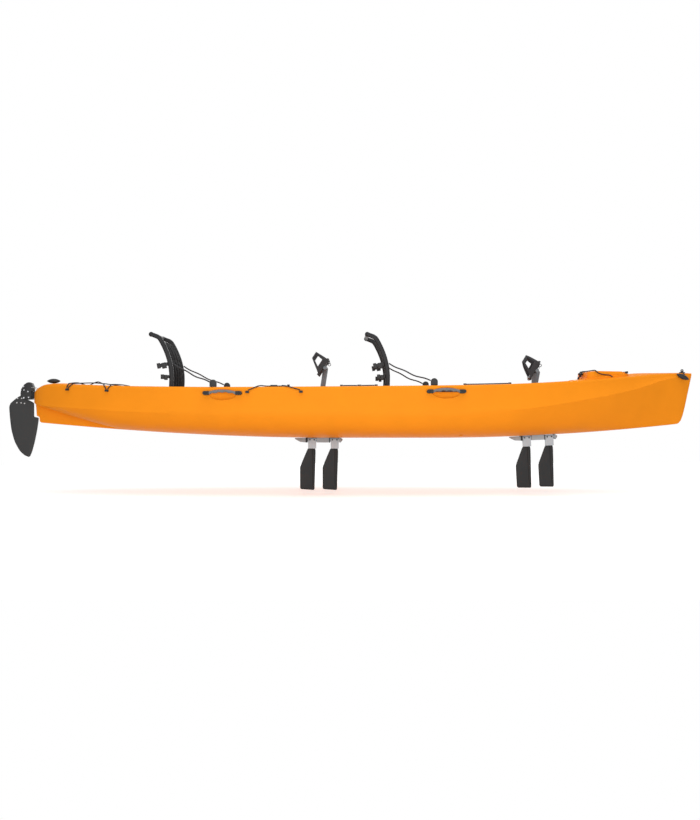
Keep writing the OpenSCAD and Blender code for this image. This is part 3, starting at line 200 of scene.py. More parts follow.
def loft(bm, rings, capped=True):
    """Skins through closed rings of points in millimetres."""
    loops = []
    for points in rings:
        verts = [bm.verts.new(Vector(p) / 1000) for p in points]
        loops.append([bm.edges.new((a, b)) for a, b in zip(verts, verts[1:] + verts[:1])])
    for near, far in zip(loops, loops[1:]):
        bmesh.ops.bridge_loops(bm, edges=near + far)
    if capped:
        bmesh.ops.holes_fill(bm, edges=loops[0] + loops[-1], sides=0)
    bmesh.ops.recalc_face_normals(bm, faces=bm.faces)


def piece(name, bm, material, body, nodes=(), angle=32):
    """Turns a finished bmesh into a smooth shaded piece that rides on a body."""
    mesh = bpy.data.meshes.new(name)
    bm.to_mesh(mesh)
    bm.free()
    mesh.shade_smooth()
    mesh.set_sharp_from_angle(angle=math.radians(angle))
    mesh.materials.append(material)
    obj = bpy.data.objects.new(name, mesh)
    bpy.context.collection.objects.link(obj)
    if body:
        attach(obj, body)
    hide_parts(*nodes)
    return obj


def srgb(*levels):
    """Linear colour from screen levels of 0 to 255."""
    return [(v / 255 / 12.92 if v <= 10 else ((v / 255 + 0.055) / 1.055) ** 2.4) for v in levels] + [1]


def moulded(name, colour, rough, grain, depth, shade=0.12, metal=0.0, gloss=0.5):
    """Moulded or painted skin: mottled colour, uneven sheen and a fine grain."""
    mat = bpy.data.materials.new(name)
    mat.use_nodes = True
    nodes, links = mat.node_tree.nodes, mat.node_tree.links
    shader = nodes["Principled BSDF"]
    shader.inputs["Metallic"].default_value = metal
    shader.inputs["Specular IOR Level"].default_value = gloss
    place = nodes.new("ShaderNodeTexCoord")
    cloud, fine = nodes.new("ShaderNodeTexNoise"), nodes.new("ShaderNodeTexNoise")
    cloud.inputs["Scale"].default_value = grain / 60
    cloud.inputs["Detail"].default_value = 5
    fine.inputs["Scale"].default_value = grain
    fine.inputs["Detail"].default_value = 3
    tint = nodes.new("ShaderNodeValToRGB")
    tint.color_ramp.elements[0].position = 0.3
    tint.color_ramp.elements[1].position = 0.7
    tint.color_ramp.elements[0].color = [c * (1 - shade) for c in colour[:3]] + [1]
    tint.color_ramp.elements[1].color = colour
    sheen = nodes.new("ShaderNodeMapRange")
    sheen.inputs["To Min"].default_value = rough - 0.08
    sheen.inputs["To Max"].default_value = rough + 0.1
    bump = nodes.new("ShaderNodeBump")
    bump.inputs["Strength"].default_value = 0.35
    bump.inputs["Distance"].default_value = depth
    links.new(place.outputs["Object"], cloud.inputs["Vector"])
    links.new(place.outputs["Object"], fine.inputs["Vector"])
    links.new(cloud.outputs["Fac"], tint.inputs["Fac"])
    links.new(cloud.outputs["Fac"], sheen.inputs["Value"])
    links.new(fine.outputs["Fac"], bump.inputs["Height"])
    links.new(tint.outputs["Color"], shader.inputs["Base Color"])
    links.new(sheen.outputs["Result"], shader.inputs["Roughness"])
    links.new(bump.outputs["Normal"], shader.inputs["Normal"])
    return mat


hull_skin = moulded("hull_polyethylene", srgb(250, 148, 31), 0.42, 420, 0.0006, 0.05, 0, 0.025)

STERN_STEPS = (0, 2, 4, 6, 8, 17, 26, 27.5, 29, 34, 40, 50, 62, 78, 98, 122, 150)
BOW_STEPS = (160, 140, 122, 108, 98, 88, 81, 74, 67, 61, 54, 47, 38, 29, 20, 13, 6, 2, 0)
EVEN_HALF, EVEN_STEPS = 2020, 118
stations = [-HALF_L + d for d in STERN_STEPS]
stations += [-EVEN_HALF + 2 * EVEN_HALF * i / EVEN_STEPS for i in range(EVEN_STEPS + 1)]
stations += [HALF_L - d for d in BOW_STEPS]
bm = bmesh.new()
rings = []
for x in stations:
    half = half_ring(x)
    rings.append([(x, y, z) for y, z in half] + [(x, -y, z) for y, z in half[-2:0:-1]])
loft(bm, rings)
hull = piece("hull_skin", bm, hull_skin, None, ["hull"])


def rounded_plan(x0, w0, x1, w1, r, grow, steps=10):
    """Rounded outline of a well or lid, w0 half wide at x0 and w1 at x1, let out by grow."""
    points = []
    corners = ((x1 - r, w1 - r, 0), (x0 + r, w0 - r, 90), (x0 + r, r - w0, 180), (x1 - r, r - w1, 270))
    for x, y, turn in corners:
        for i in range(steps + 1):
            a = math.radians(turn + 90 * i / steps)
            points.append((x + (r + grow) * math.cos(a), y + (r + grow) * math.sin(a)))
    return points


WELL_R = 60
WELL_RIM = 10
WELL_FILLET = 26
SIDE_DECK = 70
OVER_ALL = 520


def well_cutter(bm, x0, x1, widest, floor):
    """Tapered well with a rolled rim that follows the deck and a filleted floor."""
    w0, w1 = (min(widest, deck_breadth(x) - SIDE_DECK) for x in (x0, x1))

    def let_out(z):
        return 40 * (z - floor) / 400 - 20

    rings = []
    for i in range(7):
        a = math.radians(90 * i / 6)
        z = floor + WELL_FILLET * (1 - math.cos(a))
        plan = rounded_plan(x0, w0, x1, w1, WELL_R, let_out(z) - WELL_FILLET * (1 - math.sin(a)))
        rings.append([(x, y, z) for x, y in plan])
    for i in range(7):
        a = math.radians(90 * i / 6)
        plan = rounded_plan(x0, w0, x1, w1, WELL_R, let_out(sheer(x1)) + WELL_RIM * (1 - math.cos(a)))
        under = WELL_RIM * (1 - math.sin(a)) - 0.2
        rings.append([(x, y, sheer(x) + crown(x) * 0.6 - under) for x, y in plan])
    rings.append([(x, y, OVER_ALL) for x, y, z in rings[-1]])
    loft(bm, rings)


def cut(obj, bm):
    """Takes a bmesh solid out of a piece."""
    mesh = bpy.data.meshes.new("cutter")
    bm.to_mesh(mesh)
    bm.free()
    cutter = bpy.data.objects.new("cutter", mesh)
    bpy.context.collection.objects.link(cutter)
    tool = obj.modifiers.new("cut", "BOOLEAN")
    tool.object = cutter
    tool.operation = "DIFFERENCE"
    tool.solver = "EXACT"
    bpy.context.view_layer.update()
    result = bpy.data.meshes.new_from_object(obj.evaluated_get(bpy.context.evaluated_depsgraph_get()))
    obj.modifiers.clear()
    obj.data = result
    bpy.data.objects.remove(cutter)


FOOT_FLOOR, SEAT_FLOOR, CARGO_FLOOR = 112, 168, 215
bm = bmesh.new()
well_cutter(bm, 520, 1380, 275, FOOT_FLOOR)
well_cutter(bm, -740, -70, 315, FOOT_FLOOR)
well_cutter(bm, -1960, -1450, 270, CARGO_FLOOR)
cut(hull, bm)
bm = bmesh.new()
well_cutter(bm, 20, 600, 312, SEAT_FLOOR)
well_cutter(bm, -1385, -690, 312, SEAT_FLOOR)
cut(hull, bm)

# Hatch seat: the lid lies on a plane that rises towards the bow
HATCH = (1474, 158, 1752, 88, 36)
HATCH_Z0, HATCH_Z1 = (sheer(x) + crown(x) + 2 for x in (HATCH[0], HATCH[2]))


def hatch_plane(x):
    return HATCH_Z0 + (HATCH_Z1 - HATCH_Z0) * (x - HATCH[0]) / (HATCH[2] - HATCH[0])


def side_frame(x, z, m):
    """Frame on the topsides: local X forward, local Y up, local Z outward; m is 1 to port."""
    step = 8
    sx = (side_y(x + step, z) - side_y(x - step, z)) / (2 * step)
    sz = (side_y(x, z + step) - side_y(x, z - step)) / (2 * step)
    out = Vector((-sx, m, -sz)).normalized()
    fore = Vector((1, m * sx, 0)).normalized()
    up = out.cross(fore) * -m
    up = up if up.z > 0 else -up
    grid = Matrix((fore, up, out)).transposed().to_4x4()
    grid.translation = Vector((x, m * side_y(x, z), z)) / 1000
    return grid


def at_mm(x, y, z):
    """Frame moved to a point."""
    return Matrix.Translation(Vector((x, y, z)) / 1000)


def box(bm, place, *sides):
    """Box of three sides centred on a frame."""
    bmesh.ops.create_cube(bm, size=1, matrix=place @ Matrix.Diagonal((*(Vector(sides) / 1000), 1)))


def peg(bm, place, low, high, length, segments):
    """Round peg along the local Z axis of a frame, with its radius at both ends."""
    bmesh.ops.create_cone(
        bm, cap_ends=True, segments=segments, radius1=low / 1000, radius2=high / 1000, depth=length / 1000,
        matrix=place,
    )


# Drive slots, drain holes, finger recesses and the hold under the bow hatch
HANDLE_X = (520, -900)
HANDLE_DROP = 41
DRIVE_X = (1175, -270)
bm = bmesh.new()
for x in DRIVE_X:
    box(bm, at_mm(x, 0, 26), 256, 64, 176)
for x in (635, -160):
    for y in (-205, 205):
        peg(bm, at_mm(x, y, 56), 14, 18, 125, 32)
for x in HANDLE_X:
    for m in (-1, 1):
        scoop = side_frame(x, sheer(x) - HANDLE_DROP, m) @ at_mm(0, -8, 4)
        scoop = scoop @ Matrix.Diagonal((0.0915, 0.037, 0.026, 1))
        bmesh.ops.create_uvsphere(bm, u_segments=48, v_segments=24, radius=1, matrix=scoop)
hold = []
for down, share in ((-230, 0.72), (-120, 0.9), (-60, 1), (40, 1)):
    plan = rounded_plan(*HATCH, -31, 8)
    hold.append([(x, share * y, hatch_plane(x) + down) for x, y in plan])
loft(bm, hold)
cut(hull, bm)
bm = bmesh.new()
bm.from_mesh(hull.data)
bmesh.ops.remove_doubles(bm, verts=bm.verts, dist=0.00004)
bm.to_mesh(hull.data)
bm.free()
hull.data.shade_smooth()
hull.data.set_sharp_from_angle(angle=math.radians(32))
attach(hull, "hull")

# Coaming of the bow hatch
# Raised lip moulded on the fore deck, same plastic as the hull, that the lid's seal presses on.
LIP = [
    (14, -24), (14, -3), (11, 0), (-25, 0), (-26, 1), (-26, 5), (-27, 6), (-30, 6), (-31, 5), (-31, -24),
]
bm = bmesh.new()
rings = []
for out, up in LIP:
    plan = rounded_plan(*HATCH, out, 8)
    rings.append([(x, y, hatch_plane(x) + up) for x, y in plan])
loft(bm, rings + rings[:1], capped=False)
bmesh.ops.remove_doubles(bm, verts=bm.verts, dist=0.00002)
bmesh.ops.recalc_face_normals(bm, faces=bm.faces)
piece("hatch_coaming", bm, hull_skin, "hull")

# Bow hatch lid
# Moulded lid of the hull's own plastic, wedge shaped so that its top lies level. It turns on two hinge eyes
# at the front.


def rolled(bm, radius, segments=2, angle=30):
    """Rolls over the edges where two faces meet at more than an angle."""
    sharp = [e for e in bm.edges if len(e.link_faces) == 2 and e.calc_face_angle() > math.radians(angle)]
    bmesh.ops.bevel(
        bm, geom=sharp, offset=radius / 1000, offset_type="OFFSET", segments=segments, profile=0.5,
        affect="EDGES", clamp_overlap=True, material=-1,
    )


def eased(name, nodes, body, radius, material, segments=2):
    """Copy of CAD nodes with their sharp edges rolled over."""
    bm = bmesh.new()
    for node in nodes:
        bm.from_mesh(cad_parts[node].data)
    bmesh.ops.remove_doubles(bm, verts=bm.verts, dist=0.00002)
    bmesh.ops.dissolve_limit(bm, angle_limit=math.radians(1), verts=bm.verts, edges=bm.edges)
    rolled(bm, radius, segments, 25)
    return piece(name, bm, material, body, nodes)


eased("hatch_lid_skin", ["hatch_lid"], "hatch", 5, hull_skin, 3)

# Hatch seal and hinge
# Soft black foam ring under the lid; moulded hinge ears with a steel pin on the deck.
rubber = moulded("seal_rubber", srgb(34, 34, 35), 0.75, 900, 0.0008, 0.2)
trim = moulded("trim_plastic", srgb(33, 33, 34), 0.5, 700, 0.0004, 0.2, 0, 0.35)


def dress(node, material):
    """Gives a CAD node that stays a finish of its own."""
    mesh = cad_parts[node].data
    mesh.materials.clear()
    mesh.materials.append(material)


dress("hatch_seal", rubber)
eased("hatch_hinge_ears", ["hatch_hinge"], "hull", 1, trim)

# Hatch cord, toggle and ties
# Black shock cord with a woven cover, over the lid and down to the deck each side; a ribbed toggle
# hangs on it at the aft edge, caught by two short ties from the deck.


def sleeved(name, colour, pitch, relief=0.3, gloss=0.2):
    """Woven cover of a cord, strap or pad."""
    mat = moulded(name, colour, 0.7, 1500, 0.0003, 0.25, 0, gloss)
    nodes, links = mat.node_tree.nodes, mat.node_tree.links
    place, bump = nodes["Texture Coordinate"], nodes["Bump"]
    weave = nodes.new("ShaderNodeTexWave")
    weave.wave_type = "BANDS"
    weave.bands_direction = "DIAGONAL"
    weave.inputs["Scale"].default_value = 1 / pitch
    weave.inputs["Distortion"].default_value = 1.2
    over = nodes.new("ShaderNodeBump")
    over.inputs["Strength"].default_value = relief
    over.inputs["Distance"].default_value = 0.0006
    links.new(place.outputs["Object"], weave.inputs["Vector"])
    links.new(weave.outputs["Fac"], over.inputs["Height"])
    links.new(bump.outputs["Normal"], over.inputs["Normal"])
    links.new(over.outputs["Normal"], nodes["Principled BSDF"].inputs["Normal"])
    return mat


shock = sleeved("shock_cord_cover", srgb(44, 42, 50), 0.004)


def rounded_path(points, per=6):
    """Smooth line through points, given back in metres."""
    line = []
    last = len(points) - 1
    for i in range(last):
        p = [Vector(points[min(max(k, 0), last)]) / 1000 for k in (i - 1, i, i + 1, i + 2)]
        for j in range(per):
            t = j / per
            line.append(0.5 * (
                2 * p[1] + (p[2] - p[0]) * t + (2 * p[0] - 5 * p[1] + 4 * p[2] - p[3]) * t**2
                + (3 * p[1] - p[0] - 3 * p[2] + p[3]) * t**3
            ))
    return line + [Vector(points[last]) / 1000]


def cord_mesh(bm, line, diameter, sides=12):
    """Round cord along a line in metres, with rounded ends."""
    rings = []
    side = None
    last = len(line) - 1
    for i, p in enumerate(line):
        t = (line[min(i + 1, last)] - line[max(i - 1, 0)]).normalized()
        side = (side - t * side.dot(t)).normalized() if side else t.orthogonal().normalized()
        up = t.cross(side)
        turns = [2 * math.pi * k / sides for k in range(sides)]
        r = diameter / 2000
        rings.append([(p + r * (side * math.cos(a) + up * math.sin(a))) * 1000 for a in turns])
    loft(bm, rings)


def cord(name, points, diameter, material, bodies, nodes=()):
    """Cord along points, riding on its one body; given two, for its first point and its last, it rides on
    neither and stays where it is drawn.
    """
    line = rounded_path(points)
    bm = bmesh.new()
    cord_mesh(bm, line, diameter)
    obj = piece(name, bm, material, bodies[0] if len(bodies) == 1 else None, nodes, 50)
    if len(bodies) == 2:
        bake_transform(obj)
    return obj


SIDES = ((1, "left"), (-1, "right"))
CORD_D = 7
LID_RISE = 41
# Distance ahead of the lid's aft edge, shares of its breadth and rise, and clearance
HATCH_RUN = [
    (-10, 0.089, 1, 3.7), (-3, 0.146, 1, 6.9), (10, 0.291, 1, 5.7), (28, 0.582, 1, 5.3), (42, 0.848, 1, 5.8),
    (50, 0.930, 1, 4.7), (58, 0.968, 0.8, 5.5), (74, 0.943, 0.5, 3.9), (102, 0.886, 0.25, 3.3),
    (132, 0.842, 0.1, 2.5), (146, 0.886, 0, 3.5), (157, 0.908, 0, -3.3), (167, 0.924, 0, -11.4),
]
TOGGLE = (HATCH[0] - 10, HATCH_Z0 + 32)
for m, side in SIDES:
    run = []
    for ahead, share, rise, clear in HATCH_RUN:
        x = HATCH[0] + ahead
        run.append((x, m * HATCH[1] * share, hatch_plane(x) + LID_RISE * rise + clear))
    cord("hatch_cord_" + side, run, CORD_D, shock, ["hatch"], ["hatch_bungee"])
    foot_x = HATCH[0] - 25
    tie = [
        (TOGGLE[0], m * 12, TOGGLE[1] - 7.3), (TOGGLE[0] - 4, m * 12, TOGGLE[1] - 17),
        (foot_x + 2, m * 13, HATCH_Z0 + 8), (foot_x, m * 13, sheer(foot_x) + crown(foot_x) * 0.9 + 0.6),
    ]
    cord("hatch_tie_" + side, tie, CORD_D, shock, ["hull"], ["hatch_tie_cords"])


def turned(bm, profile, place, steps=40):
    """Turns a profile of along and radius round the local X axis of a frame."""
    turns = [2 * math.pi * k / steps for k in range(steps)]
    rings = []
    for along, radius in profile:
        ring = [Vector((along, radius * math.cos(a), radius * math.sin(a))) for a in turns]
        rings.append([(place @ (p / 1000)) * 1000 for p in ring])
    loft(bm, rings)


ATHWART = Matrix.Rotation(math.pi / 2, 4, "Z")
knob = [(20, 7), (23, 9), (28, 9.8), (33, 8), (36, 4.5), (37, 1)]
profile = [(-x, radius) for x, radius in knob[::-1]]
profile += [(x, 7 if x % 6 else 5.8) for x in range(-18, 20, 3)]
bm = bmesh.new()
turned(bm, profile + knob, at_mm(TOGGLE[0], 0, TOGGLE[1]) @ ATHWART)
piece("hatch_toggle_grip", bm, trim, "hatch", ["hatch_toggle"])

# Round hatches
# Black moulded screw-in hatches in the footwell floors: a fixed rim and a ribbed lid that twists out.
dress("round_hatch_rims", trim)
for end in ("front", "rear"):
    eased(end + "_round_hatch_lid", [end + "_round_lid"], end + "_round_lid", 1.5, trim)

# Side handles
# Grey soft grips with finger scallops between black end blocks, each block screwed to the topsides.
grip_rubber = moulded("grip_rubber", srgb(116, 117, 120), 0.6, 900, 0.0006, 0.15, 0, 0.3)
steel = moulded("stainless_steel", srgb(190, 190, 193), 0.3, 600, 0.0002, 0.1, 1.0)
eased("side_grips", ["side_handle_grips"], "hull", 5, grip_rubber, 3)
eased("side_grip_ends", ["side_handle_ends"], "hull", 3, trim)
dress("handle_screws", trim)

# Carry handles and tow eye
# Lens shaped black grips at both ends; the bow one hangs from a strap over the deck edge to the tow eye.
GRIP_HALF = 46
GRIP_STAND = 16.3
BOW_GRIP_X, BOW_STRAP_X, STERN_GRIP_X = 2134, 2149, -2090
lens = [(-GRIP_HALF, 1)]
for i in range(1, 24):
    t = i / 12 - 1
    lens.append((GRIP_HALF * t, 13 * (1 - t * t) + 3 * (1 - t**8)))
lens.append((GRIP_HALF, 1))
bm = bmesh.new()
bow_at = side_frame(BOW_GRIP_X, sheer(BOW_GRIP_X) - 23, -1) @ at_mm(0, -10, GRIP_STAND)
turned(bm, lens, bow_at @ Matrix.Rotation(math.radians(-27), 4, "Z"))
piece("bow_grip", bm, trim, "hull", ["bow_handle"])
strap_run = [(0, -5, 5), (0.5, 4, 2), (1.5, 14, -6), (2, 22, -18)]
strap_y, strap_z = -deck_breadth(BOW_STRAP_X), sheer(BOW_STRAP_X)
strap_run = [(BOW_STRAP_X + x, strap_y - y, strap_z + z) for x, y, z in strap_run]
cord("bow_strap", strap_run, CORD_D, shock, ["hull"], ["bow_handle"])
bm = bmesh.new()
turned(bm, lens, at_mm(STERN_GRIP_X, 0, sheer(STERN_GRIP_X) + crown(STERN_GRIP_X) + GRIP_STAND))
piece("stern_grip", bm, trim, "hull", ["stern_handle"])
eased("bow_eye", ["bow_tow_eye"], "hull", 1.2, trim)

# Deck cords and hooks
# Shock cord in four crossings over the stern well, a loop along each gunwale that keeps a paddle, and short
# runs on the deck edge; moulded hooks below the edge, pads and clips on it hold the ends.
eased("cord_hooks", ["bungee_hooks"], "hull", 1.5, trim)
KEEPER_Y = 358
SHORT_RUNS = ((653, 927), (-135, -45), (-18, 66))


def edge_point(x, turn, m):
    """Point of a cord on its way round the rolled deck edge, turned up from the topsides by degrees."""
    a, r = math.radians(turn), EDGE_R + 6
    return (x, m * (deck_breadth(x) - EDGE_R + r * math.cos(a)), sheer(x) - EDGE_R + r * math.sin(a))


def up_edge(x, run, m):
    """A cord's way from a hook up over the deck edge, leaning along the hull by run."""
    end = x + run
    foot = (x, m * (side_y(x, sheer(x) - EDGE_R) + CORD_D), sheer(x) - 22.2)
    top = (end, m * (deck_breadth(end) - EDGE_R - 6), sheer(end) + CORD_D)
    return [foot, edge_point(x + 0.3 * run, 21, m), edge_point(x + 0.7 * run, 60, m), top]


def on_deck(x, y):
    return (x, y, sheer(x) + CORD_D / 2 + 0.6)


for m, side in SIDES:
    clip = [on_deck(-622, m * KEEPER_Y), on_deck(-530, m * KEEPER_Y)]
    run = up_edge(-736, 80, m) + clip + up_edge(-407, -115, m)[::-1]
    cord("paddle_keeper_" + side, run, CORD_D, shock, ["hull"], ["paddle_bungees"])
    for k, (a, b) in enumerate(SHORT_RUNS, 1):
        spots = [a + (b - a) * i / 4 for i in range(5)]
        run = [on_deck(x, m * (deck_breadth(x) - EDGE_R - 5)) for x in spots]
        name = "deck_cord_%s_%d" % (side, k)
        cord(name, run, CORD_D, shock, ["hull"], ["paddle_bungees"])
# Name, hook and lean along the hull at both ends, and height over the others
CROSSINGS = [
    ("aft", (-1941, 12), (-1941, 12), 0), ("fore", (-1655, 26), (-1655, 26), 0),
    ("low", (-1929, 34), (-1667, -26), 0), ("high", (-1667, -26), (-1929, 34), CORD_D + 1),
]
for name, start, end, up in CROSSINGS:
    mid = (sum(start) + sum(end)) / 2
    middle = (mid, 0, max(sheer(start[0]), sheer(end[0])) + CORD_D + crown(mid) + up)
    run = up_edge(*start, -1) + [middle] + up_edge(*end, 1)[::-1]
    cord("cargo_cord_" + name, run, CORD_D, shock, ["hull"], ["cargo_bungee"])

# Rudder
# Black glass-filled nylon head on a steel pin; a dark foil blade pivots in its fork and kicks up.
STEER = -2236
blade_skin = moulded("rudder_nylon", srgb(50, 50, 50), 0.55, 500, 0.0005, 0.12, 0, 0.3)
eased("rudder_bracket_block", ["rudder_bracket"], "hull", 1.5, trim)
eased("rudder_head_block", ["rudder_head"], "rudder_head", 3, trim)
dress("rudder_pin", steel)
dress("rudder_blade_pin", steel)
BLADE = [
    (-82, 281), (-66, 276), (-24, 253), (6, 239), (14, 231), (14, 140), (44, 134), (44, 115),
    (34, 49), (19, -26), (1, -93), (-13, -126), (-23, -131), (-52, -119), (-85, -88), (-118, -27),
    (-139, 49), (-148, 120), (-154, 196), (-153, 212), (-146, 231), (-127, 248), (-104, 267),
]


def foil(bm, outline, place, steps):
    """Plate drawn as along and height; steps give its half thickness and how far it is drawn in there."""
    middle = sum((Vector(p) for p in outline), Vector((0, 0))) / len(outline)
    rings = []
    for half, share in [(-t, s) for t, s in steps[::-1]] + steps:
        ring = [middle.lerp(Vector(p), share) for p in outline]
        rings.append([(place @ (Vector((x, half, z)) / 1000)) * 1000 for x, z in ring])
    loft(bm, rings)


def softened(points, per=5, keep=28):
    """Rounds an outline, leaving corners sharper than keep degrees nearly as they are."""
    done = []
    n = len(points)
    for i in range(n):
        before, here, after = (Vector(points[k % n]) for k in (i - 1, i, i + 1))
        reach = 0.32 if abs((here - before).angle_signed(after - here, 0)) < math.radians(keep) else 0.12
        p, q = here.lerp(before, reach), here.lerp(after, reach)
        for j in range(per):
            done.append(bent(p, here, q, j / (per - 1)))
    return done


CROSSWISE = Matrix.Rotation(math.pi / 2, 4, "X")
bm = bmesh.new()
foil(bm, softened(BLADE), at_mm(STEER, 0, 0), [(1.8, 1), (3, 0.985), (4.6, 0.93), (5.6, 0.84), (6, 0.7)])
piece("rudder_foil", bm, blade_skin, "rudder_blade", ["rudder_blade"], 20)
bm = bmesh.new()
for x, z in ((-96, 264.5), (-68, 264.5), (-101, 235), (-72, 234), (-49, 230)):
    peg(bm, at_mm(STEER + x, 0, z) @ CROSSWISE, 4.5, 4.5, 13.4, 20)
pale = moulded("pale_rivet", srgb(205, 205, 205), 0.4, 500, 0.0002)
piece("rudder_rivets", bm, pale, "rudder_blade")
# Bolt heads stand on the cheeks of the fork only, so the blade has room to swing between them.
bm = bmesh.new()
for x, z, r in ((-49, 345, 4.5), (-47, 320.5, 4.5), (-20.5, 310, 5), (-15.7, 271.3, 5)):
    for m in (1, -1):
        peg(bm, at_mm(STEER + x, m * 19.25, z) @ CROSSWISE, r, r, 9, 6)
piece("rudder_head_bolts", bm, steel, "rudder_head")
LINE_X, LINE_Z = -2194, 337
line_cover = sleeved("steering_line_cover", srgb(196, 196, 190), 0.002)
for m, side in SIDES:
    exit_at = (LINE_X, m * 24.8, section(LINE_X)[3] + 2.4)
    run = [exit_at, (STEER + 20, m * 24.3, LINE_Z), (STEER + 2, m * 23.8, LINE_Z)]
    cord("steering_line_" + side, run, 3, line_cover, ["hull", "rudder_head"], ["steering_lines"])

# Steering lever
# Moulded hand lever on a round base on the port gunwale; it turns the rudder through the lines.
eased("steering_base_block", ["steering_base"], "hull", 1.5, trim)
eased("steering_lever_arm", ["steering_lever"], "steering_lever", 2, trim)

# Seats
# Bent tube rails with a roll at the top carry a quilted back pad; the base cushion lies on a hinge plate.
# The back folds forward on a tube through two lugs, held up by a strap to each gunwale.
frame_tube = moulded("seat_frame_plastic", srgb(26, 26, 28), 0.45, 500, 0.0004, 0.15, 0, 0.25)
cover = sleeved("seat_fabric", srgb(26, 26, 27), 0.0035, 0.1, 0.03)
webbing = sleeved("strap_webbing", srgb(60, 60, 62), 0.003)
# Height above the hinge and forward offset of the back
BACK = [
    [0, 0], [44, 1], [118, 4], [193, 5], [270, -6], [342, -29], [405, -59], [432, -78], [444, -101],
]
HINGE_Z = SEAT_FLOOR + 60
ROLL_X, ROLL_H = -128, 453
RAIL_Y = 202
PAD_LOW, PAD_TALL, PAD_HALF = 26, 388, 188.5
PAD_SEAM = 0.32
CUSHION_HALF = 200
STRAP_H = 262
ANCHOR_X, ANCHOR_Y = 297, 343
SEATS = (("front", 150), ("rear", -1262))


def back_line(h):
    """Forward offset of the back and the slope of its line at a height above the hinge."""
    return fair(BACK, h, 1), (fair(BACK, h + 2, 1) - fair(BACK, h - 2, 1)) / 4


def swell(t):
    return max(1 - t**4, 0) ** 0.5


def padding(bm, cols, rows, shape):
    """Sewn piece: a grid drawn out to a slab, each point moved to shape(u, v, side)."""
    bmesh.ops.create_grid(bm, x_segments=cols, y_segments=rows, size=1)
    top = list(bm.verts)
    flat = {v: (v.co.x, v.co.y) for v in top}
    solid = bmesh.ops.extrude_face_region(bm, geom=bm.faces[:])
    far = [v for v in solid["geom"] if isinstance(v, bmesh.types.BMVert)]
    for v in far:
        v.co = Vector(shape(v.co.x, v.co.y, 1)) / 1000
    for v, (x, y) in flat.items():
        v.co = Vector(shape(x, y, -1)) / 1000
    bmesh.ops.recalc_face_normals(bm, faces=bm.faces)


def stuffed(bm, sewn, cap):
    """Swells a pad under its filling: sewn points stay, and no other moves further than cap, in metres."""
    cut_mesh = bpy.data.meshes.new("pad_cut")
    bm.to_mesh(cut_mesh)
    mould = bpy.data.objects.new("pad_cut", cut_mesh)
    bpy.context.collection.objects.link(mould)
    grid = mould.modifiers.new("grid", "REMESH")
    grid.mode = "VOXEL"
    grid.voxel_size = 0.006
    start = bpy.data.meshes.new_from_object(mould.evaluated_get(bpy.context.evaluated_depsgraph_get()))
    mould.modifiers.clear()
    mould.data = start
    held = mould.vertex_groups.new(name="sewn")
    held.add([v.index for v in start.vertices if sewn(v.co * 1000)], 1.0, "REPLACE")
    filling = mould.modifiers.new("filling", "CLOTH")
    filling.settings.vertex_group_mass = "sewn"
    filling.settings.use_pressure = True
    filling.settings.uniform_pressure_force = 4
    filling.settings.effector_weights.gravity = 0
    for step in range(1, 21):
        bpy.context.scene.frame_set(step)
    full = bpy.data.meshes.new_from_object(mould.evaluated_get(bpy.context.evaluated_depsgraph_get()))
    for a, b in zip(start.vertices, full.vertices):
        move = b.co - a.co
        b.co = a.co + move * min(1, cap / max(move.length, 1e-9))
    bpy.data.objects.remove(mould)
    bpy.context.scene.frame_set(1)
    bm.clear()
    bm.from_mesh(full)
    bmesh.ops.smooth_vert(bm, verts=bm.verts, factor=0.5, use_axis_x=True, use_axis_y=True, use_axis_z=True)


def softer(obj):
    """Rounds the facets of a pad."""
    soft = obj.modifiers.new("soft", "SUBSURF")
    soft.levels = soft.render_levels = 1


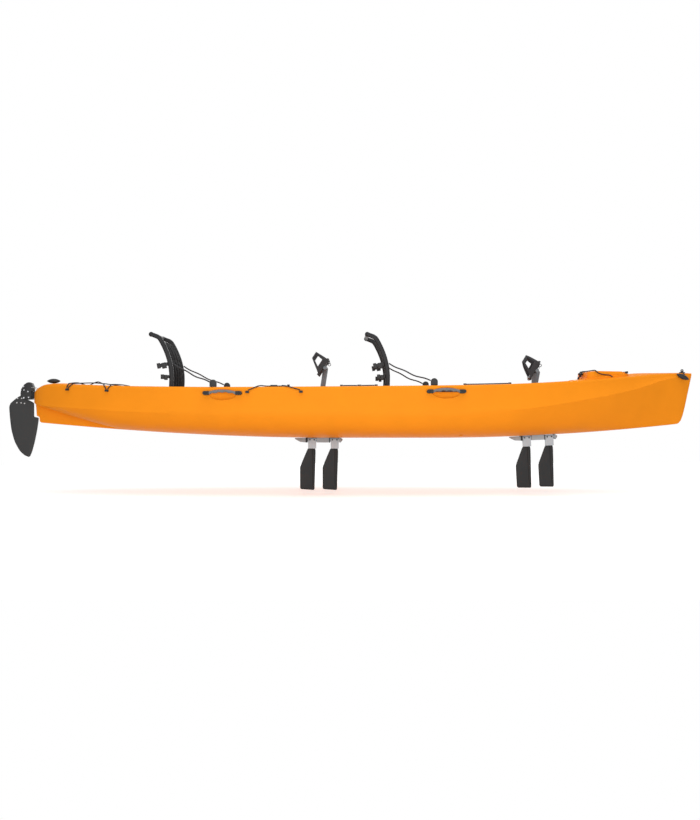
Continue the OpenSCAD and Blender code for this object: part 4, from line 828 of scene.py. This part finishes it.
for end, hinge_x in SEATS:
    body = end + "_seat_back"
    bm = bmesh.new()
    for m in (1, -1):
        rings = []
        for h in [*range(2, 421, 22), 429, 438, ROLL_H]:
            x, slope = back_line(h) if h < ROLL_H else (ROLL_X, 0)
            lean = Vector((0, 1)) if h == ROLL_H else Vector((1, -slope)).normalized()
            ring = []
            for k in range(24):
                c, w = math.cos(math.pi * k / 12), math.sin(math.pi * k / 12)
                out = lean * math.copysign(15 * abs(c) ** 0.6, c)
                across = math.copysign(13 * abs(w) ** 0.6, w)
                ring.append((hinge_x + x + out.x, m * RAIL_Y + across, HINGE_Z + h + out.y))
            rings.append(ring)
        loft(bm, rings)
    for x, z, r, ball in ((ROLL_X, ROLL_H, 13, 16), (0, 0, 11, 11)):
        tube = at_mm(hinge_x + x, 0, HINGE_Z + z)
        ends = [(215, 1), (214, 0.45 * ball), (210, 0.78 * ball), (204, ball), (196, ball), (190, r)]
        profile = [(-y, radius) for y, radius in ends] + ends[::-1]
        turned(bm, profile, tube @ ATHWART)
    piece(end + "_seat_rails", bm, frame_tube, body, [end + "_seat_frame"], 40)
    eased(end + "_seat_clip_blocks", [end + "_seat_clips"], body, 2, trim)

    def back_pad(u, v, side):
        h = PAD_LOW + PAD_TALL * (v + 1) / 2
        x, slope = back_line(h)
        channel = 1 - 0.3 * abs(math.cos(math.pi * 2 * (u + 1))) ** 8
        seam = 1 - 0.35 * math.exp(-(((v - PAD_SEAM) / 0.03) ** 2))
        crease = 0.8 * math.sin(9 * v + 5 * u) * math.sin(7 * u - 3 * v)
        t = -8 if side < 0 else (0.25 + 0.75 * swell(u) * swell(v) * channel * seam) * 27 - 8 + crease
        norm = math.hypot(1, slope)
        inset = 1 - 0.03 * (1 - v * v) * abs(u)
        return (hinge_x + x + t / norm, u * inset * PAD_HALF, HINGE_Z + h - t * slope / norm)

    bm = bmesh.new()
    padding(bm, 64, 56, back_pad)

    def back_sewn(p):
        """Seams of the back: its edges, four upright channels, one cross seam and the side on the rails."""
        h = p.z - HINGE_Z
        u, v = p.y / PAD_HALF, 2 * (h - PAD_LOW) / PAD_TALL - 1
        line = min(abs(u - k / 2) for k in range(-2, 3)) < 0.022 or abs(v - PAD_SEAM) < 0.016
        return line or max(abs(u), abs(v)) > 0.96 or p.x - hinge_x - back_line(h)[0] < -4

    stuffed(bm, back_sewn, 0.006)
    pad = piece(end + "_back_pad", bm, cover, body, [end + "_seat_pad"], 60)
    softer(pad)

    def base_pad(u, v, side):
        channel = 1 - 0.22 * abs(math.cos(math.pi * 1.5 * (v + 1))) ** 8
        crease = 0.9 * math.sin(8 * u + 4 * v) * math.sin(6 * v - 2 * u)
        t = 0 if side < 0 else (0.45 + 0.55 * swell(u) * swell(v) * channel) * 41 + crease
        wide = CUSHION_HALF - 6 * (1 - u * u) * abs(v)
        return (hinge_x + 27 + 205 * (u + 1), v * wide, SEAT_FLOOR + 5.8 + t)

    bm = bmesh.new()
    padding(bm, 56, 56, base_pad)

    def base_sewn(p):
        """Seams of the cushion: its lower edge, three channels fore and aft, and the side on the plate."""
        v = p.y / CUSHION_HALF
        line = min(abs(v - k / 3) for k in (-3, -1, 1, 3)) < 0.02
        return line or p.z < SEAT_FLOOR + 12

    stuffed(bm, base_sewn, 0.007)
    cushion = piece(end + "_base_cushion", bm, cover, "hull", [end + "_seat_base"], 60)
    softer(cushion)

    bm = bmesh.new()
    box(bm, at_mm(hinge_x + 193, 0, SEAT_FLOOR + 2.8), 434, 392, 5)
    for y in (-110, 110):
        box(bm, at_mm(hinge_x, y, SEAT_FLOOR + 30), 34, 24, 59.5)
        peg(bm, at_mm(hinge_x, y, HINGE_Z) @ CROSSWISE, 17, 17, 24, 40)
    rolled(bm, 1.2)
    piece(end + "_seat_plate", bm, frame_tube, "hull", [end + "_seat_base"])

    for m, side in SIDES:
        top = Vector((hinge_x + back_line(STRAP_H)[0] + 19, m * RAIL_Y, HINGE_Z + STRAP_H))
        foot = Vector((hinge_x + ANCHOR_X - 24, m * ANCHOR_Y, sheer(hinge_x + ANCHOR_X) + 32))
        run = []
        for i in range(13):
            t = i / 12
            wave = 3 * math.sin(4 * math.pi * t) - 9 * math.sin(math.pi * t)
            run.append(foot.lerp(top, t) + Vector((0, 0, wave)))
        name = end + "_seat_strap_" + side
        cord(name, run, 9, webbing, ["hull", body], [end + "_seat_straps"])
eased("strap_anchor_pads", ["strap_anchors"], "hull", 4, trim, 3)

# Pedal drives
# Grey moulded spines clipped in the floor slots; cranks on a steel shaft work two fin drums under the keel.
casting = moulded("drive_casting", srgb(164, 172, 177), 0.45, 500, 0.0004, 0.1, 0, 0.3)
socket = moulded("drum_nylon", srgb(190, 199, 205), 0.45, 500, 0.0004, 0.08, 0, 0.3)
fin_rubber = moulded("fin_elastomer", srgb(37, 38, 39), 0.6, 700, 0.0005, 0.12, 0, 0.3)
pedal_plastic = moulded("pedal_plastic", srgb(36, 36, 38), 0.5, 600, 0.0005, 0.15, 0, 0.3)
crank_paint = moulded("crank_alloy", srgb(106, 114, 119), 0.4, 600, 0.0003, 0.1, 0, 0.3)
dress("drive_shafts", steel)
dress("drive_chains", steel)
# End, station, slope of the keel there, length of the cranks, and their lean to port and to starboard
DRIVES = (
    ("front", DRIVE_X[0], 2.76036, 240, (13.5, 4)),
    ("rear", DRIVE_X[1], -0.149426, 278, (8.5, 8.5)),
)
CRANK_X, CRANK_Y, CRANK_Z = -28, 102, 188
DRUM_X = 76
FIN_ROOT = -73.8
FIN = [
    (24, 0), (17, -272), (11, -280), (-73, -275), (-81, -266), (-82, -128), (-79, -118), (-32, -5), (-27, 0),
]
for end, mid_x, slope, crank_l, leans in DRIVES:
    base = at_mm(mid_x, 0, keel_z(mid_x)) @ Matrix.Rotation(math.radians(-slope), 4, "Y")
    eased(end + "_drive_spine", [end + "_spine"], "hull", 2.5, casting)
    eased(end + "_drive_fairing", [end + "_fairing"], "hull", 2, casting)
    bm = bmesh.new()
    for x, wide in ((-113, 12), (41.5, 7)):
        box(bm, base @ at_mm(x, 0, -17), wide, 53.2, 32)
    rolled(bm, 1)
    piece(end + "_drive_bands", bm, trim, "hull")
    for m, name in ((1, "fore"), (-1, "aft")):
        body = "_".join((end, "fin", name))
        at = base @ at_mm(m * DRUM_X, 0, 0)
        eased(end + "_fin_drum_" + name, [end + "_drum_" + name], body, 3, socket)
        bm = bmesh.new()
        for x in (-15, 15):
            for y in (-14, 14):
                peg(bm, at @ at_mm(x, y, -14.5) @ CROSSWISE, 5, 5, 2.5, 16)
        piece(end + "_drum_screws_" + name, bm, trim, body)
        bm = bmesh.new()
        foil(bm, softened(FIN), at @ at_mm(0, 0, FIN_ROOT), [(1, 1), (1.8, 0.985), (2.5, 0.9), (3, 0.75)])
        sleeve = at @ at_mm(8, 0, FIN_ROOT) @ Matrix.Rotation(math.pi / 2, 4, "Y")
        turned(bm, [(0, 1), (0.5, 8.5), (2, 9), (240, 8), (258, 5), (264, 1)], sleeve, 28)
        piece(end + "_fin_sail_" + name, bm, fin_rubber, body, [end + "_fin_" + name], 30)
    for m, side, lean in ((1, "left", leans[0]), (-1, "right", leans[1])):
        body = "_".join((end, "crank", side))
        eased(end + "_crank_arm_" + side, [end + "_crank_" + side], body, 4, crank_paint, 3)
        turn = math.radians(lean)
        pin = at_mm(crank_l * math.sin(turn) + CRANK_X, m * CRANK_Y, CRANK_Z + crank_l * math.cos(turn))
        at = base @ pin @ Matrix.Rotation(math.radians(33), 4, "Y")
        bm = bmesh.new()
        box(bm, at @ at_mm(-16, 0, 0), 12, 90, 130)
        for y in (-28, 28):
            box(bm, at @ at_mm(-8, y, 0), 16, 22, 24)
            peg(bm, at @ at_mm(0, y, 0) @ CROSSWISE, 12, 12, 22, 32)
        for k in range(-4, 5):
            box(bm, at @ at_mm(-22.6, 0, 13 * k), 3, 78, 5)
        rolled(bm, 1)
        pedal_body = "_".join((end, "pedal", side))
        piece(end + "_pedal_plate_" + side, bm, pedal_plastic, pedal_body, [end + "_pedal_" + side])

        bm = bmesh.new()
        bmesh.ops.create_grid(bm, x_segments=56, y_segments=12, size=1)
        gap = [
            f for f in bm.faces
            if 0.42 < abs(f.calc_center_median().x) < 0.93 and abs(f.calc_center_median().y) < 0.66
        ]
        bmesh.ops.delete(bm, geom=gap, context="FACES")
        for v in bm.verts:
            a = math.pi * (v.co.x + 1) / 2
            reach = math.sin(a) ** 0.5 if v.co.x not in (-1, 1) else 0
            low, high = -59 + 69 * reach, 59 - reach
            along = low + (high - low) * (v.co.y + 1) / 2
            v.co = at @ (Vector((-13 - 98 * reach, 45.3 * math.cos(a), along)) / 1000)
        bmesh.ops.recalc_face_normals(bm, faces=bm.faces)
        bmesh.ops.solidify(bm, geom=bm.faces[:], thickness=0.003)
        piece(end + "_foot_strap_" + side, bm, webbing, pedal_body, angle=50)

        bm = bmesh.new()
        wire = at @ at_mm(0, m * 34, 42)
        bmesh.ops.create_circle(bm, segments=10, radius=0.002, matrix=wire @ at_mm(9, 0, 0))
        bmesh.ops.spin(
            bm, geom=bm.verts[:] + bm.edges[:], cent=wire.translation, axis=wire.to_3x3() @ Vector((0, 1, 0)),
            angle=2 * math.pi, steps=28, use_merge=True,
        )
        box(bm, wire @ at_mm(-9.5, 0, 0), 6, 14, 12)
        bmesh.ops.recalc_face_normals(bm, faces=bm.faces)
        piece(end + "_strap_ring_" + side, bm, trim, pedal_body, angle=50)

# Floor, light and camera
# Plain studio: a white floor just under the fins that keeps a soft shadow, a white room, and soft light from
# above and from both sides. Only what is seen or mirrored shows white; the object is lit by less.
bm = bmesh.new()
bmesh.ops.create_grid(bm, x_segments=1, y_segments=1, size=3.6, matrix=at_mm(0, 0, -372))
floor_mat = bpy.data.materials.new("studio_white")
floor_mat.use_nodes = True
world = bpy.data.worlds.new("studio")
bpy.context.scene.world = world
world.use_nodes = True


def seen_ray(tree):
    """Socket that is 1 for what the camera sees straight, mirrored or through glass."""
    ray = tree.nodes.new("ShaderNodeLightPath")
    seen = ray.outputs["Is Camera Ray"]
    for kind in ("Is Glossy Ray", "Is Transmission Ray"):
        either = tree.nodes.new("ShaderNodeMath")
        either.operation = "MAXIMUM"
        tree.links.new(seen, either.inputs[0])
        tree.links.new(ray.outputs[kind], either.inputs[1])
        seen = either.outputs["Value"]
    return seen


tree = floor_mat.node_tree
paint = tree.nodes["Principled BSDF"]
paint.inputs["Base Color"].default_value = (0.88, 0.88, 0.88, 1)
paint.inputs["Roughness"].default_value = 0.9
paint.inputs["Specular IOR Level"].default_value = 0
glow, both, pick = (tree.nodes.new("ShaderNode" + kind) for kind in ("Emission", "AddShader", "MixShader"))
glow.inputs["Strength"].default_value = 0.5
tree.links.new(paint.outputs["BSDF"], both.inputs[0])
tree.links.new(glow.outputs["Emission"], both.inputs[1])
tree.links.new(seen_ray(tree), pick.inputs["Fac"])
tree.links.new(paint.outputs["BSDF"], pick.inputs[1])
tree.links.new(both.outputs["Shader"], pick.inputs[2])
tree.links.new(pick.outputs["Shader"], tree.nodes["Material Output"].inputs["Surface"])
floor = piece("floor", bm, floor_mat, None)

sky = world.node_tree
room = sky.nodes["Background"]
room.inputs["Color"].default_value = (1, 1, 1, 1)
room.inputs["Strength"].default_value = 0.385
white, pick = (sky.nodes.new("ShaderNode" + kind) for kind in ("Background", "MixShader"))
white.inputs["Color"].default_value = (1, 1, 1, 1)
sky.links.new(seen_ray(sky), pick.inputs["Fac"])
sky.links.new(room.outputs["Background"], pick.inputs[1])
sky.links.new(white.outputs["Background"], pick.inputs[2])
sky.links.new(pick.outputs["Shader"], sky.nodes["World Output"].inputs["Surface"])


def lamp(name, place, target, size, power):
    """Soft rectangular light aimed at a target, with places in metres and power in watts."""
    light = bpy.data.lights.new(name, "AREA")
    light.shape = "RECTANGLE"
    light.size, light.size_y = size
    light.energy = power
    obj = bpy.data.objects.new(name, light)
    obj.location = place
    obj.rotation_euler = (Vector(target) - Vector(place)).to_track_quat("-Z", "Y").to_euler()
    bpy.context.collection.objects.link(obj)


lamp("top_light", (0, -0.6, 3.2), (0, 0, 0), (6, 3), 82)
lamp("front_light", (0, -4.5, 0.65), (0, 0, 0.1), (6, 2), 106)
lamp("back_light", (0, 4.5, 1.8), (0, 0, 0.2), (6, 2), 63)

camera = bpy.data.cameras.new("photo_view")
camera.sensor_fit = "VERTICAL"
camera.sensor_height = 36
camera.lens = 41.64
view = bpy.data.objects.new("photo_view", camera)
view.location = (-0.091, -6.4, 0.186)
view.rotation_euler = (math.pi / 2, 0, 0)
bpy.context.collection.objects.link(view)
bpy.context.scene.camera = view
bpy.context.scene.view_settings.view_transform = "Standard"

bpy.context.view_layer.update()
